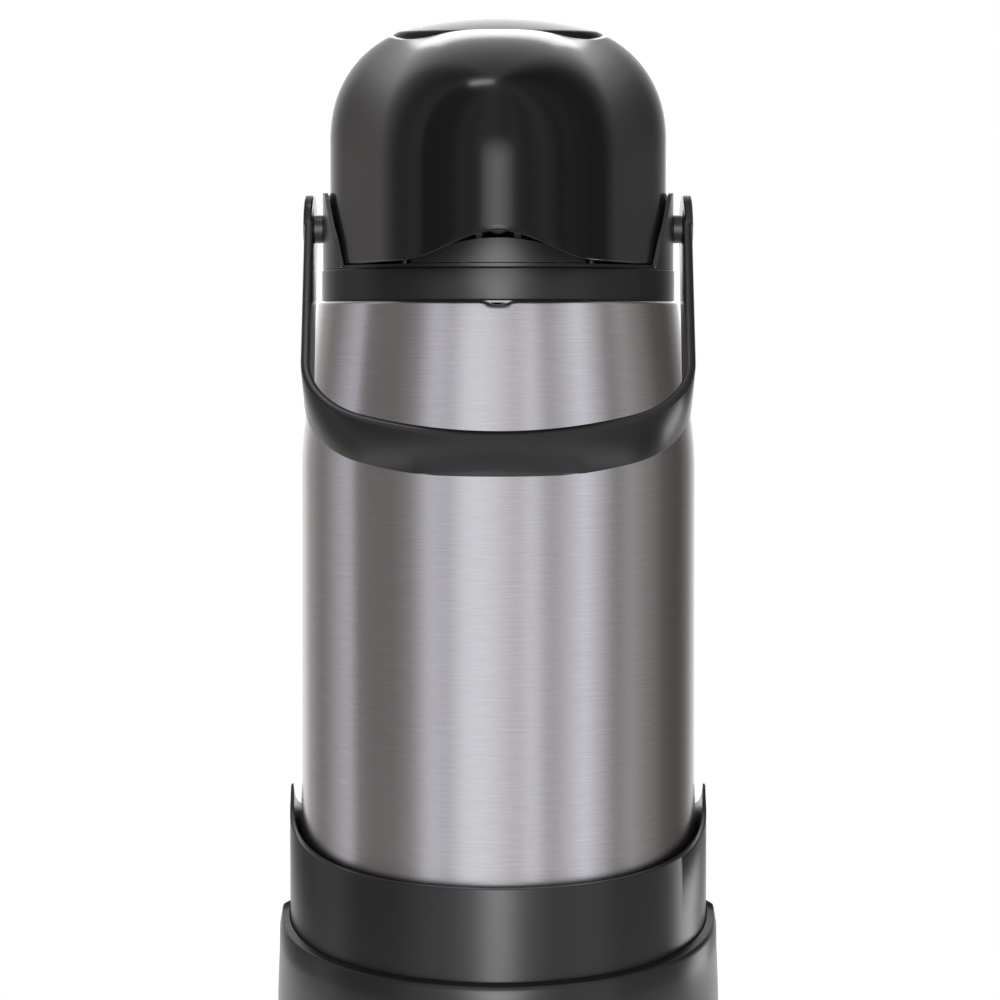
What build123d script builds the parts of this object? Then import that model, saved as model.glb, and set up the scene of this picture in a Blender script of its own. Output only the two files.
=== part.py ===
from build123d import *
import math
import os

# Thermal airpot with a glass refill and a bellows pump in a hinged lid.
# Millimetres. +Z is up, the spout points to -Y, +X is to the right of someone facing the spout.
# The origin is the middle of the face that the pot stands on.

os.makedirs("parts", exist_ok=True)

# ---------------------------------------------------------------- driving dimensions
# Base: a lower ring (foot) around an upper ring (collar). Both have a scalloped top edge that is low
# in front and behind, and rises to a point at each side.
FOOT_R = 83.8
FOOT_FLARE_R = 84.5
FOOT_BORE_R = 80.0
FOOT_FLOOR_Z = 6.0
FOOT_FLOOR_TOP = 9.0
FOOT_BOTTOM_Z = 1.5
FOOT_SHOULDER_Z = 35.0
FOOT_LOW_Z = 38.4
FOOT_PEAK_Z = 44.7
COLLAR_R = 79.7
COLLAR_WALL = 2.4
COLLAR_LOW_Z = 71.0
COLLAR_PEAK_Z = 90.0
COLLAR_PEAK_BORE_R = 79.0
COLLAR_LEDGE_Z = 62.0
STAND_IN_R = 75.0
STAND_OUT_R = 81.0
STAND_GROOVE_TOP = 4.0
PLUG_R = 44.0
PLUG_TUBE_R = 47.5
PLUG_TUBE_TOP = 18.0
PLUG_FACE_Z = 4.0
BASE_SCREW_R = 70.0

# Steel jacket.
JACKET_R = 75.4
JACKET_T = 0.6
JACKET_BOTTOM_Z = 40.0
JACKET_BEND_Z = 219.0
JACKET_BEND_R = 130.0
JACKET_TOP_R = 68.7
JACKET_TOP_Z = 275.0
JACKET_FLANGE_R = 63.0

# Collar ring and neck.
RING_R = 66.8
RING_BORE_R = 62.0
RING_BOTTOM_Z = 275.0
RING_TOP_Z = 286.8
NECK_R = 61.5
NECK_TUBE_T = 3.0
NECK_TUBE_BOTTOM_Z = 262.0
NECK_PLATE_Z = 283.0
NECK_PLATE_TOP = 286.5
NECK_MOUTH_R = 36.5
NECK_FLANGE_R = 65.5
NECK_FLANGE_TOP = 288.0

# Ears that carry the bail.
EAR_R = 66.4
EAR_BORE_R = 65.0
EAR_TOP_Z = 315.7
EAR_FOOT_HALF = 33.0
EAR_WAIST_HALF = 28.5
EAR_WAIST_Z = 297.0
EAR_TOP_HALF = 15.0

# Bail.
PIVOT_Z = 302.6
BAIL_ANGLE = 46.5
BAIL_REACH = 118.2
BAIL_T = 3.4
BAIL_BAND = 20.4
BAIL_SWEEP_R = 145.0
BAIL_CORNER_R = 32.0
BAIL_ARM_LEAN = 0.047
BAIL_EYE_R = 13.0
BAIL_IN_X = 69.8
BAIL_OUT_X = 73.0
PIN_R = 3.0
PIN_BOSS_R = 5.35
PIN_RUN = 0.05
PIN_HEAD_R = 4.9
PIN_HEAD_T = 1.5

# Glass refill.
GLASS_R = 64.0
GLASS_T = 2.0
GLASS_INNER_R = 57.0
GLASS_BOTTOM_Z = 20.0
GLASS_SHOULDER_Z = 222.0
GLASS_LIP_Z = 282.0
GLASS_NECK_R = 34.0
GLASS_MOUTH_R = 27.0

# Siphon and valve.
TUBE_R = 4.0
TUBE_BORE_R = 2.8
TUBE_BOTTOM_Z = 31.0
TUBE_TOP_Z = 274.0
HEAD_R = 34.0
HEAD_Z = 285.0
HEAD_TOP = 288.0

# Lid, whose hull is where three outlines meet: one seen from above, one from the front, one from the side.
HINGE_Y = 69.5
HINGE_Z = 291.5
HINGE_PIN_R = 1.75
HINGE_BARREL_R = 3.4
HINGE_BARREL_HALF = 11.5
LUG_IN_X = 12.0
LUG_OUT_X = 19.0
LID_R = 63.9
LID_WALL = 2.6
LID_BOTTOM_Z = 288.3
BEAK_REACH = 105.2
NOSE_R = 38.0
BEAK_LIP_Z = 298.0
TOP_Z = 377.5
TOP_SLOPE = 0.12
WELL_R = 39.9
WELL_WALL = 2.5
WELL_BOTTOM_Z = 346.0
LID_PLATE_Z = 310.0
LID_PLATE_TOP = 312.5
LID_PLATE_R = 60.6
DUCT_R = 32.0
DUCT_BORE_R = 29.5
DUCT_FOOT_Z = 291.3
LID_SCREW_R = 57.6
LID_SCREW_ANGLES = (65.0, 115.0, -65.0, -115.0)

# Button, bellows and spring.
BUTTON_R = 39.3
BUTTON_CROWN = 4.4
BUTTON_SKIRT_Z = 366.0
BELLOWS_R = 33.0
BELLOWS_ROOT_R = 27.0
BELLOWS_T = 1.2
BELLOWS_TURNS = 7
BELLOWS_BOTTOM_Z = LID_PLATE_TOP
BELLOWS_TOP_Z = 362.0
SPRING_R = 19.0
SPRING_WIRE_R = 0.9
SPRING_TURNS = 7

# Delivery pipe and spout.
PIPE_R = 5.0
PIPE_BORE_R = 3.4
PIPE_Z = 303.0
PIPE_BEND_R = 8.0
PIPE_FOOT_Z = 289.4
SPOUT_Y = -92.0
SPOUT_R = 8.0
SPOUT_TIP_Z = 299.5
SPOUT_TOP_Z = 310.0

# Latch in the arch under the beak.
LATCH_R = 66.2
LATCH_T = 2.2
LATCH_BOTTOM_Z = 288.3
LATCH_TOP_Z = 296.8
TONGUE_HALF = 10.0
TONGUE_END_Y = -50.0
HOOK_Z = 294.6
PEG_R = 1.3
PEG_ANGLE = 31.0


def save(builder, name):
    """Label a finished piece and write its STEP file."""
    builder.part.label = name
    export_step(builder.part, "parts/" + name + ".step")


def on_circle(radius, angle_from_front):
    """Point on a circle about Z, the angle measured from the spout side towards +X."""
    angle = math.radians(angle_from_front)
    return radius * math.sin(angle), -radius * math.cos(angle)


def scallop_cutter(low_z, peak_z, radius):
    """Everything above a scalloped edge that is low in front and behind and peaks over the X axis."""
    top = peak_z + 20.0
    far = -radius - 20.0
    with BuildPart() as cutter:
        with BuildSketch(Plane.YZ):
            with BuildLine():
                EllipticalCenterArc((-radius, peak_z), radius, peak_z - low_z, start_angle=270, arc_size=90)
                Polyline((-radius, low_z), (far, low_z), (far, top), (0, top), (0, peak_z))
            make_face()
            mirror(about=Plane.YZ)
        extrude(amount=2 * radius, both=True)
    return cutter.part


def ring(outer_r, inner_r, low_z, high_z, mode=Mode.ADD):
    """Plain ring about Z in the part being built."""
    with BuildSketch(Plane.XY.offset(low_z)) as outline:
        Circle(outer_r)
        if inner_r > 0:
            Circle(inner_r, mode=Mode.SUBTRACT)
    extrude(outline.sketch, amount=high_z - low_z, mode=mode)


def block(x_span, y_span, z_span, mode=Mode.ADD):
    """Box between two X, two Y and two Z values in the part being built."""
    center = tuple((low + high) / 2 for low, high in (x_span, y_span, z_span))
    size = tuple(high - low for low, high in (x_span, y_span, z_span))
    with Locations(center):
        Box(*size, mode=mode)


def screw(plane, shank_r, length, head_r, head_t):
    """Pan-head screw: the plane is the seat under its head and its normal points to the tip."""
    with Locations(plane):
        Cylinder(shank_r, length, align=(Align.CENTER, Align.CENTER, Align.MIN))
        Cylinder(head_r, head_t, align=(Align.CENTER, Align.CENTER, Align.MAX))
    with Locations(plane.offset(-head_t)):
        Box(head_r * 1.3, head_r * 0.25, head_t, mode=Mode.SUBTRACT)
        Box(head_r * 0.25, head_r * 1.3, head_t, mode=Mode.SUBTRACT)


# ---------------------------------------------------------------- base
# Rubber ring that the pot stands on.
with BuildPart() as foot_ring:
    ring(STAND_OUT_R, STAND_IN_R, 0.0, STAND_GROOVE_TOP)
    fillet(foot_ring.edges().group_by(Axis.Z)[0], radius=0.8)
save(foot_ring, "foot_ring")

# Lower ring of the base, with its floor and the tube that the plug fits into.
foot_cutter = scallop_cutter(FOOT_LOW_Z, FOOT_PEAK_Z, FOOT_BORE_R)
with BuildPart() as base_foot:
    with BuildSketch(Plane.XZ):
        with BuildLine():
            Polyline(
                (PLUG_R, FOOT_FLOOR_Z),
                (STAND_IN_R - 1.0, FOOT_FLOOR_Z),
                (STAND_IN_R, STAND_GROOVE_TOP),
                (STAND_OUT_R, STAND_GROOVE_TOP),
                (STAND_OUT_R, FOOT_BOTTOM_Z),
                (FOOT_FLARE_R - 1.5, FOOT_BOTTOM_Z),
                (FOOT_FLARE_R, 2 * FOOT_BOTTOM_Z),
                (FOOT_FLARE_R, 12.0),
                (FOOT_R, FOOT_SHOULDER_Z),
            )
            ThreePointArc((FOOT_R, FOOT_SHOULDER_Z), (FOOT_R - 0.9, 39.6), (FOOT_BORE_R + 0.7, FOOT_PEAK_Z))
            Polyline(
                (FOOT_BORE_R + 0.7, FOOT_PEAK_Z),
                (FOOT_BORE_R, FOOT_PEAK_Z),
                (FOOT_BORE_R, FOOT_FLOOR_TOP),
                (PLUG_TUBE_R, FOOT_FLOOR_TOP),
                (PLUG_TUBE_R, PLUG_TUBE_TOP),
                (PLUG_R, PLUG_TUBE_TOP),
                (PLUG_R, FOOT_FLOOR_Z),
            )
        make_face()
    revolve(axis=Axis.Z)
    add(foot_cutter, mode=Mode.SUBTRACT)
    with BuildSketch(Plane.XY.offset(FOOT_FLOOR_Z)):
        with PolarLocations(BASE_SCREW_R, 4, start_angle=45.0):
            Circle(1.6)
    extrude(amount=FOOT_FLOOR_TOP - FOOT_FLOOR_Z, mode=Mode.SUBTRACT)
save(base_foot, "base_foot")

# Upper ring of the base, which holds the jacket's lower end on a ledge.
COLLAR_BORE_R = COLLAR_R - COLLAR_WALL
LEDGE_IN_R = 66.0
LEDGE_BOTTOM_Z = JACKET_BOTTOM_Z - 4.0
collar_cutter = scallop_cutter(COLLAR_LOW_Z, COLLAR_PEAK_Z, COLLAR_BORE_R)
with BuildPart() as base_collar:
    with BuildSketch(Plane.XZ):
        with BuildLine():
            Polyline(
                (LEDGE_IN_R, LEDGE_BOTTOM_Z),
                (COLLAR_BORE_R, LEDGE_BOTTOM_Z),
                (COLLAR_BORE_R, FOOT_FLOOR_TOP),
                (COLLAR_R, FOOT_FLOOR_TOP),
                (COLLAR_R, COLLAR_PEAK_Z - 4.0),
                (COLLAR_PEAK_BORE_R + 0.2, COLLAR_PEAK_Z),
                (COLLAR_PEAK_BORE_R, COLLAR_PEAK_Z),
                (COLLAR_BORE_R, COLLAR_LOW_Z),
                (COLLAR_BORE_R, COLLAR_LEDGE_Z),
                (JACKET_R + 0.1, COLLAR_LEDGE_Z),
                (JACKET_R + 0.1, JACKET_BOTTOM_Z),
                (LEDGE_IN_R, JACKET_BOTTOM_Z),
                (LEDGE_IN_R, LEDGE_BOTTOM_Z),
            )
        make_face()
    revolve(axis=Axis.Z)
    add(collar_cutter, mode=Mode.SUBTRACT)
    with BuildSketch(Plane.XY.offset(FOOT_FLOOR_TOP)):
        with PolarLocations(BASE_SCREW_R, 4, start_angle=45.0):
            Circle(4.0)
    extrude(amount=LEDGE_BOTTOM_Z - FOOT_FLOOR_TOP)
    with BuildSketch(Plane.XY.offset(FOOT_FLOOR_TOP)):
        with PolarLocations(BASE_SCREW_R, 4, start_angle=45.0):
            Circle(1.6)
    extrude(amount=16.0, mode=Mode.SUBTRACT)
save(base_collar, "base_collar")

# Four screws that pull the two base rings together, heads in the foot's underside.
with BuildPart() as base_screws:
    for angle in (45.0, 135.0, 225.0, 315.0):
        screw_x, screw_y = on_circle(BASE_SCREW_R, angle)
        screw(Plane(origin=(screw_x, screw_y, FOOT_FLOOR_Z), z_dir=(0, 0, 1)), 1.5, 18.0, 3.2, 2.0)
save(base_screws, "base_screws")

# Plug in the middle of the base, with the bar that turns it level with the face the pot stands on.
with BuildPart() as base_plug:
    ring(PLUG_R - 0.1, 0.0, PLUG_FACE_Z, 8.0)
    ring(PLUG_R - 0.1, PLUG_R - 3.0, 8.0, PLUG_TUBE_TOP)
    block((-30.0, 30.0), (-5.0, 5.0), (0.0, PLUG_FACE_Z))
    fillet(base_plug.edges().filter_by(Axis.Z).group_by(Axis.Z)[0], radius=3.0)
save(base_plug, "base_plug")

# Rubber cushion that carries the glass refill.
CUSHION_R = 38.0
CUSHION_BORE_R = 12.0
with BuildPart() as refill_cushion:
    ring(CUSHION_R, CUSHION_BORE_R, 8.0, GLASS_BOTTOM_Z)
    fillet(refill_cushion.edges().group_by(Axis.Z)[-1], radius=1.5)
save(refill_cushion, "refill_cushion")

# ---------------------------------------------------------------- jacket and glass refill
# Brushed steel jacket: straight wall, tapering shoulder, top edge rolled inwards under the ring.
DIMPLE_R = 10.3
DIMPLE_FLOOR_Y = -68.5
DIMPLE_DROP = 2.3
with BuildPart() as steel_jacket:
    with BuildSketch(Plane.XZ):
        with BuildLine():
            FilletPolyline(
                (JACKET_R, JACKET_BOTTOM_Z),
                (JACKET_R, JACKET_BEND_Z),
                (JACKET_TOP_R, JACKET_TOP_Z),
                (JACKET_FLANGE_R, JACKET_TOP_Z),
                radius=(JACKET_BEND_R, 1.6),
            )
            offset(amount=JACKET_T, side=Side.LEFT)
        make_face()
    revolve(axis=Axis.Z)
    # Shallow half-moon that locates the ring in front.
    with BuildSketch(Plane.XZ.offset(-DIMPLE_FLOOR_Y)):
        with Locations((0, JACKET_TOP_Z - DIMPLE_DROP + DIMPLE_R)):
            Circle(DIMPLE_R)
    extrude(amount=5.0, mode=Mode.SUBTRACT)
save(steel_jacket, "steel_jacket")

# Double-walled glass refill. The space between the walls opens only at the tip in the middle of its bottom.
TIP_R = 3.0
TIP_BORE_R = 1.2
TIP_BOTTOM_Z = 13.0
with BuildPart() as glass_refill:
    with BuildSketch(Plane.XZ):
        with BuildLine():
            FilletPolyline(
                (TIP_R, TIP_BOTTOM_Z),
                (TIP_R, GLASS_BOTTOM_Z),
                (GLASS_R, GLASS_BOTTOM_Z),
                (GLASS_R, GLASS_SHOULDER_Z),
                (GLASS_NECK_R, 264.0),
                (GLASS_NECK_R, GLASS_LIP_Z),
                (GLASS_MOUTH_R, GLASS_LIP_Z),
                (GLASS_MOUTH_R, 262.0),
                (GLASS_INNER_R, 219.0),
                (GLASS_INNER_R, GLASS_BOTTOM_Z + 8.0),
                (0, GLASS_BOTTOM_Z + 8.0),
                radius=(0, 18.0, 24.0, 8.0, 3.0, 3.0, 8.0, 20.0, 14.0),
            )
            Line((0, GLASS_BOTTOM_Z + 8.0), (0, GLASS_BOTTOM_Z + 8.0 - GLASS_T))
            FilletPolyline(
                (0, GLASS_BOTTOM_Z + 8.0 - GLASS_T),
                (GLASS_INNER_R + GLASS_T, GLASS_BOTTOM_Z + 8.0 - GLASS_T),
                (GLASS_INNER_R + GLASS_T, 220.0),
                (GLASS_MOUTH_R + GLASS_T, 263.2),
                (GLASS_MOUTH_R + GLASS_T, GLASS_LIP_Z - GLASS_T),
                (GLASS_NECK_R - GLASS_T, GLASS_LIP_Z - GLASS_T),
                (GLASS_NECK_R - GLASS_T, 263.0),
                (GLASS_R - GLASS_T, 220.6),
                (GLASS_R - GLASS_T, GLASS_BOTTOM_Z + GLASS_T),
                (TIP_BORE_R, GLASS_BOTTOM_Z + GLASS_T),
                (TIP_BORE_R, TIP_BOTTOM_Z),
                (TIP_R, TIP_BOTTOM_Z),
                radius=(16.0, 22.0, 6.0, 1.2, 1.2, 10.0, 22.0, 16.0, 0, 0),
            )
        make_face()
    revolve(axis=Axis.Z)
save(glass_refill, "glass_refill")

# Soft cap that protects and stops the tip.
with BuildPart() as tip_guard:
    ring(6.0, 0.0, 10.5, 19.5)
    ring(TIP_R, 0.0, TIP_BOTTOM_Z, 19.5, mode=Mode.SUBTRACT)
    fillet(tip_guard.edges().group_by(Axis.Z)[0], radius=1.5)
save(tip_guard, "tip_guard")

# Rubber ring between the glass lip and the tube head.
with BuildPart() as mouth_gasket:
    ring(GLASS_NECK_R, GLASS_MOUTH_R - 1.0, GLASS_LIP_Z, HEAD_Z)
save(mouth_gasket, "mouth_gasket")

# ---------------------------------------------------------------- siphon
SOCKET_R = 7.0
CHAMBER_R = 4.8
SOCKET_BOTTOM_Z = 264.0
OUTLET_R = 2.4
SEAL_RING_R = 7.4
SEAL_WIRE_R = 1.2
SEAL_Z = 287.9
with BuildPart() as tube_head:
    ring(HEAD_R, 0.0, HEAD_Z, HEAD_TOP)
    ring(GLASS_MOUTH_R - 1.3, GLASS_MOUTH_R - 3.3, 279.0, HEAD_Z)
    ring(SOCKET_R, 0.0, SOCKET_BOTTOM_Z, HEAD_Z)
    ring(TUBE_R + 0.05, 0.0, SOCKET_BOTTOM_Z, TUBE_TOP_Z, mode=Mode.SUBTRACT)
    ring(CHAMBER_R, 0.0, TUBE_TOP_Z, HEAD_Z, mode=Mode.SUBTRACT)
    ring(OUTLET_R, 0.0, HEAD_Z, HEAD_TOP, mode=Mode.SUBTRACT)
    with BuildSketch(Plane.XY.offset(HEAD_Z)):
        with PolarLocations(16.0, 6):
            Circle(3.5)
    extrude(amount=HEAD_TOP - HEAD_Z, mode=Mode.SUBTRACT)
    with Locations((0, 0, SEAL_Z)):
        Torus(SEAL_RING_R, SEAL_WIRE_R, mode=Mode.SUBTRACT)
save(tube_head, "tube_head")

with BuildPart() as siphon_seal:
    with Locations((0, 0, SEAL_Z)):
        Torus(SEAL_RING_R, SEAL_WIRE_R)
save(siphon_seal, "siphon_seal")

# Ball that falls against the outlet when the pot tips over.
BALL_R = 3.6
with BuildPart() as check_ball:
    with Locations((0, 0, TUBE_TOP_Z + BALL_R)):
        Sphere(BALL_R)
save(check_ball, "check_ball")

with BuildPart() as siphon_tube:
    ring(TUBE_R, TUBE_BORE_R, TUBE_BOTTOM_Z, TUBE_TOP_Z)
save(siphon_tube, "siphon_tube")

# ---------------------------------------------------------------- collar ring and neck
with BuildPart() as collar_ring:
    ring(RING_R, RING_BORE_R, RING_BOTTOM_Z, RING_TOP_Z)
    fillet(collar_ring.edges().filter_by(GeomType.CIRCLE).group_by(SortBy.RADIUS)[-1], radius=0.6)
save(collar_ring, "collar_ring")

# Wall of the two ears, on one cylinder, with the hole for the bail's pin.
EAR_HALF_OUTLINE = (
    (0, RING_TOP_Z),
    (EAR_FOOT_HALF, RING_TOP_Z),
    (EAR_WAIST_HALF, EAR_WAIST_Z),
    (EAR_TOP_HALF, EAR_TOP_Z),
    (0, EAR_TOP_Z),
)
with BuildPart() as ear_wall:
    ring(EAR_R, EAR_BORE_R, RING_TOP_Z, EAR_TOP_Z)
    with BuildSketch(Plane.YZ):
        with BuildLine():
            FilletPolyline(*EAR_HALF_OUTLINE, radius=(0.5, 18.0, 7.0))
            Line((0, EAR_TOP_Z), (0, RING_TOP_Z))
        make_face()
        mirror(about=Plane.YZ)
        with Locations((0, PIVOT_Z)):
            Circle(PIN_R, mode=Mode.SUBTRACT)
    extrude(amount=EAR_R, both=True, mode=Mode.INTERSECT)

# Neck housing: tube and plate around the mouth, flange on the ring, ears, hinge lugs, latch rails.
NECK_BORE_R = NECK_R - NECK_TUBE_T
LUG_FOOT_Y = 60.0
LUG_FACE_Y = HINGE_Y - HINGE_BARREL_R - 1.5
RAIL_GAP = 0.4
RAIL_T = 2.5
RAIL_TOP_Z = 291.0
PEG_CENTER_R = NECK_FLANGE_R - PEG_R - 0.3
PEG_TOP_Z = 292.5
with BuildPart() as neck_housing:
    with BuildSketch(Plane.XZ):
        with BuildLine():
            Polyline(
                (NECK_MOUTH_R, NECK_PLATE_Z),
                (NECK_BORE_R, NECK_PLATE_Z),
                (NECK_BORE_R, NECK_TUBE_BOTTOM_Z),
                (NECK_R, NECK_TUBE_BOTTOM_Z),
                (NECK_R, RING_TOP_Z),
                (NECK_FLANGE_R, RING_TOP_Z),
                (NECK_FLANGE_R, NECK_FLANGE_TOP),
                (NECK_BORE_R, NECK_FLANGE_TOP),
                (NECK_BORE_R, NECK_PLATE_TOP),
                (NECK_MOUTH_R, NECK_PLATE_TOP),
                (NECK_MOUTH_R, NECK_PLATE_Z),
            )
        make_face()
    revolve(axis=Axis.Z)
    add(ear_wall.part)
    # Hinge lugs behind, each on a foot that reaches out over the ring.
    with BuildSketch(Plane.YZ):
        with BuildLine():
            Polyline(
                (LUG_FOOT_Y, RING_TOP_Z),
                (HINGE_Y - 1.0, RING_TOP_Z),
                (HINGE_Y + 2.0, HINGE_Z - 2.0),
                (HINGE_Y - 2.0, HINGE_Z + 2.0),
                (LUG_FACE_Y, NECK_FLANGE_TOP),
                (LUG_FOOT_Y, NECK_FLANGE_TOP),
                (LUG_FOOT_Y, RING_TOP_Z),
            )
        make_face()
        with Locations((HINGE_Y, HINGE_Z)):
            Circle(HINGE_BARREL_R)
            Circle(HINGE_PIN_R, mode=Mode.SUBTRACT)
    extrude(amount=LUG_OUT_X, both=True)
    block(
        (-LUG_IN_X, LUG_IN_X),
        (NECK_FLANGE_R - 2.0, HINGE_Y + 5.0),
        (RING_TOP_Z - 1.0, HINGE_Z + 5.0),
        Mode.SUBTRACT,
    )
    # Rails that guide the latch's tongue, and the two pegs beside the latch.
    for side in (-1, 1):
        rail_x = sorted((side * (TONGUE_HALF + RAIL_GAP), side * (TONGUE_HALF + RAIL_GAP + RAIL_T)))
        block(rail_x, (2.5 - NECK_R, TONGUE_END_Y), (NECK_PLATE_Z + 1.0, RAIL_TOP_Z))
    for angle in (-PEG_ANGLE, PEG_ANGLE):
        with Locations((*on_circle(PEG_CENTER_R, angle), NECK_FLANGE_TOP - 0.5)):
            Cylinder(PEG_R, PEG_TOP_Z - NECK_FLANGE_TOP + 0.5, align=(Align.CENTER, Align.CENTER, Align.MIN))
save(neck_housing, "neck_housing")

with BuildPart() as hinge_pin:
    with BuildSketch(Plane.YZ):
        with Locations((HINGE_Y, HINGE_Z)):
            Circle(HINGE_PIN_R)
    extrude(amount=LUG_OUT_X + 0.5, both=True)
    chamfer(hinge_pin.edges(), length=0.4)
save(hinge_pin, "hinge_pin")

# ---------------------------------------------------------------- bail and its pins
BOSS_OUT_X = BAIL_IN_X - 0.2
HEAD_IN_X = BAIL_OUT_X - PIN_HEAD_T


def both_sides(inner_x, outer_x, outer_r, inner_r=0.0, mode=Mode.ADD):
    """Disc or ring around the bail's pivot at each side, between two distances from the middle."""
    for side in (-1, 1):
        plane = Plane(origin=(side * inner_x, 0, PIVOT_Z), x_dir=(0, 1, 0), z_dir=(side, 0, 0))
        with BuildSketch(plane) as disc:
            Circle(outer_r)
            if inner_r > 0:
                Circle(inner_r, mode=Mode.SUBTRACT)
        extrude(disc.sketch, amount=outer_x - inner_x, mode=mode)


with BuildPart() as bail_washers:
    both_sides(EAR_R + 0.05, BOSS_OUT_X, PIN_BOSS_R, PIN_R)
save(bail_washers, "bail_washers")

with BuildPart() as bail_pins:
    both_sides(EAR_BORE_R - 0.3, BAIL_OUT_X, PIN_R)
    both_sides(HEAD_IN_X, BAIL_OUT_X, PIN_HEAD_R)
save(bail_pins, "bail_pins")

# The bail is a flat strip bent into a wide U. Its plane holds the pivot and hangs forward at BAIL_ANGLE
# from straight down; in that plane's sketch x runs across the pot and y runs away from the pivot.
hang = math.radians(BAIL_ANGLE)
BAIL_PLANE = Plane(
    origin=(0, 0, PIVOT_Z),
    x_dir=(1, 0, 0),
    z_dir=(0, math.cos(hang), -math.sin(hang)),
)
SWEEP_CENTER = BAIL_REACH - BAIL_SWEEP_R
ARM_END = 104.0
arm_end_x = BAIL_OUT_X - BAIL_ARM_LEAN * ARM_END
arm_end_y = SWEEP_CENTER + math.sqrt(BAIL_SWEEP_R**2 - arm_end_x**2)


def bail_outline(inset):
    """Face inside the bail's outer edge, moved in by the inset."""
    with BuildSketch() as outline:
        with BuildLine():
            Line((BAIL_OUT_X, 0), (arm_end_x, arm_end_y))
            ThreePointArc((arm_end_x, arm_end_y), (0, BAIL_REACH), (-arm_end_x, arm_end_y))
            Polyline((-arm_end_x, arm_end_y), (-BAIL_OUT_X, 0), (BAIL_OUT_X, 0))
        make_face()
        fillet(outline.vertices().group_by(Axis.Y)[-1], radius=BAIL_CORNER_R)
        if inset > 0:
            offset(amount=-inset, mode=Mode.REPLACE)
    return outline.sketch


outer_face = bail_outline(0)
inner_face = bail_outline(BAIL_T)
EYE_RECESS_R = PIN_HEAD_R + 0.3
with BuildPart() as bail_handle:
    with BuildSketch(BAIL_PLANE):
        add(outer_face)
        add(inner_face, mode=Mode.SUBTRACT)
        with Locations((0, BAIL_T)):
            Rectangle(2 * BAIL_IN_X, 4 * BAIL_T, mode=Mode.SUBTRACT)
    extrude(amount=BAIL_BAND / 2, both=True)
    fillet(bail_handle.edges().filter_by(GeomType.CIRCLE), radius=1.0)
    both_sides(BAIL_IN_X, BAIL_OUT_X, BAIL_EYE_R)
    both_sides(BAIL_IN_X - 1.0, BAIL_OUT_X, PIN_R + PIN_RUN, mode=Mode.SUBTRACT)
    both_sides(HEAD_IN_X - 0.15, BAIL_OUT_X + 1.0, EYE_RECESS_R, mode=Mode.SUBTRACT)
save(bail_handle, "bail_handle")

# ---------------------------------------------------------------- latch
LATCH_IN_R = LATCH_R - LATCH_T
LATCH_FOOT_X = 31.0
HOOK_HALF = 8.0
HOOK_T = 1.6
HOOK_TIP_Y = -62.2
LATCH_END_Z = LATCH_BOTTOM_Z + 0.4
TONGUE_T = 2.0
ROOT_Y = -LATCH_IN_R - 0.8
with BuildPart() as latch_panel:
    ring(LATCH_R, LATCH_IN_R, LATCH_BOTTOM_Z, LATCH_TOP_Z)
    with BuildSketch(Plane.XZ):
        with BuildLine():
            ThreePointArc((-LATCH_FOOT_X, LATCH_END_Z), (0, LATCH_TOP_Z), (LATCH_FOOT_X, LATCH_END_Z))
            Polyline(
                (LATCH_FOOT_X, LATCH_END_Z),
                (LATCH_FOOT_X, LATCH_BOTTOM_Z),
                (-LATCH_FOOT_X, LATCH_BOTTOM_Z),
                (-LATCH_FOOT_X, LATCH_END_Z),
            )
        make_face()
    extrude(amount=LATCH_R, mode=Mode.INTERSECT)
    block((-HOOK_HALF, HOOK_HALF), (ROOT_Y, HOOK_TIP_Y), (HOOK_Z, HOOK_Z + HOOK_T))
    block((-TONGUE_HALF, TONGUE_HALF), (ROOT_Y, TONGUE_END_Y), (LATCH_BOTTOM_Z, LATCH_BOTTOM_Z + TONGUE_T))
save(latch_panel, "latch_panel")

# ---------------------------------------------------------------- lid
TOP_OVER_Z = 388.0
SHOULDER_X = 19.5
SHOULDER_Z = 363.9
SHOULDER_R = 35.3


def top_plane_z(y):
    """Height of the sloping top at a distance behind the middle."""
    return TOP_Z + TOP_SLOPE * y


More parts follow.
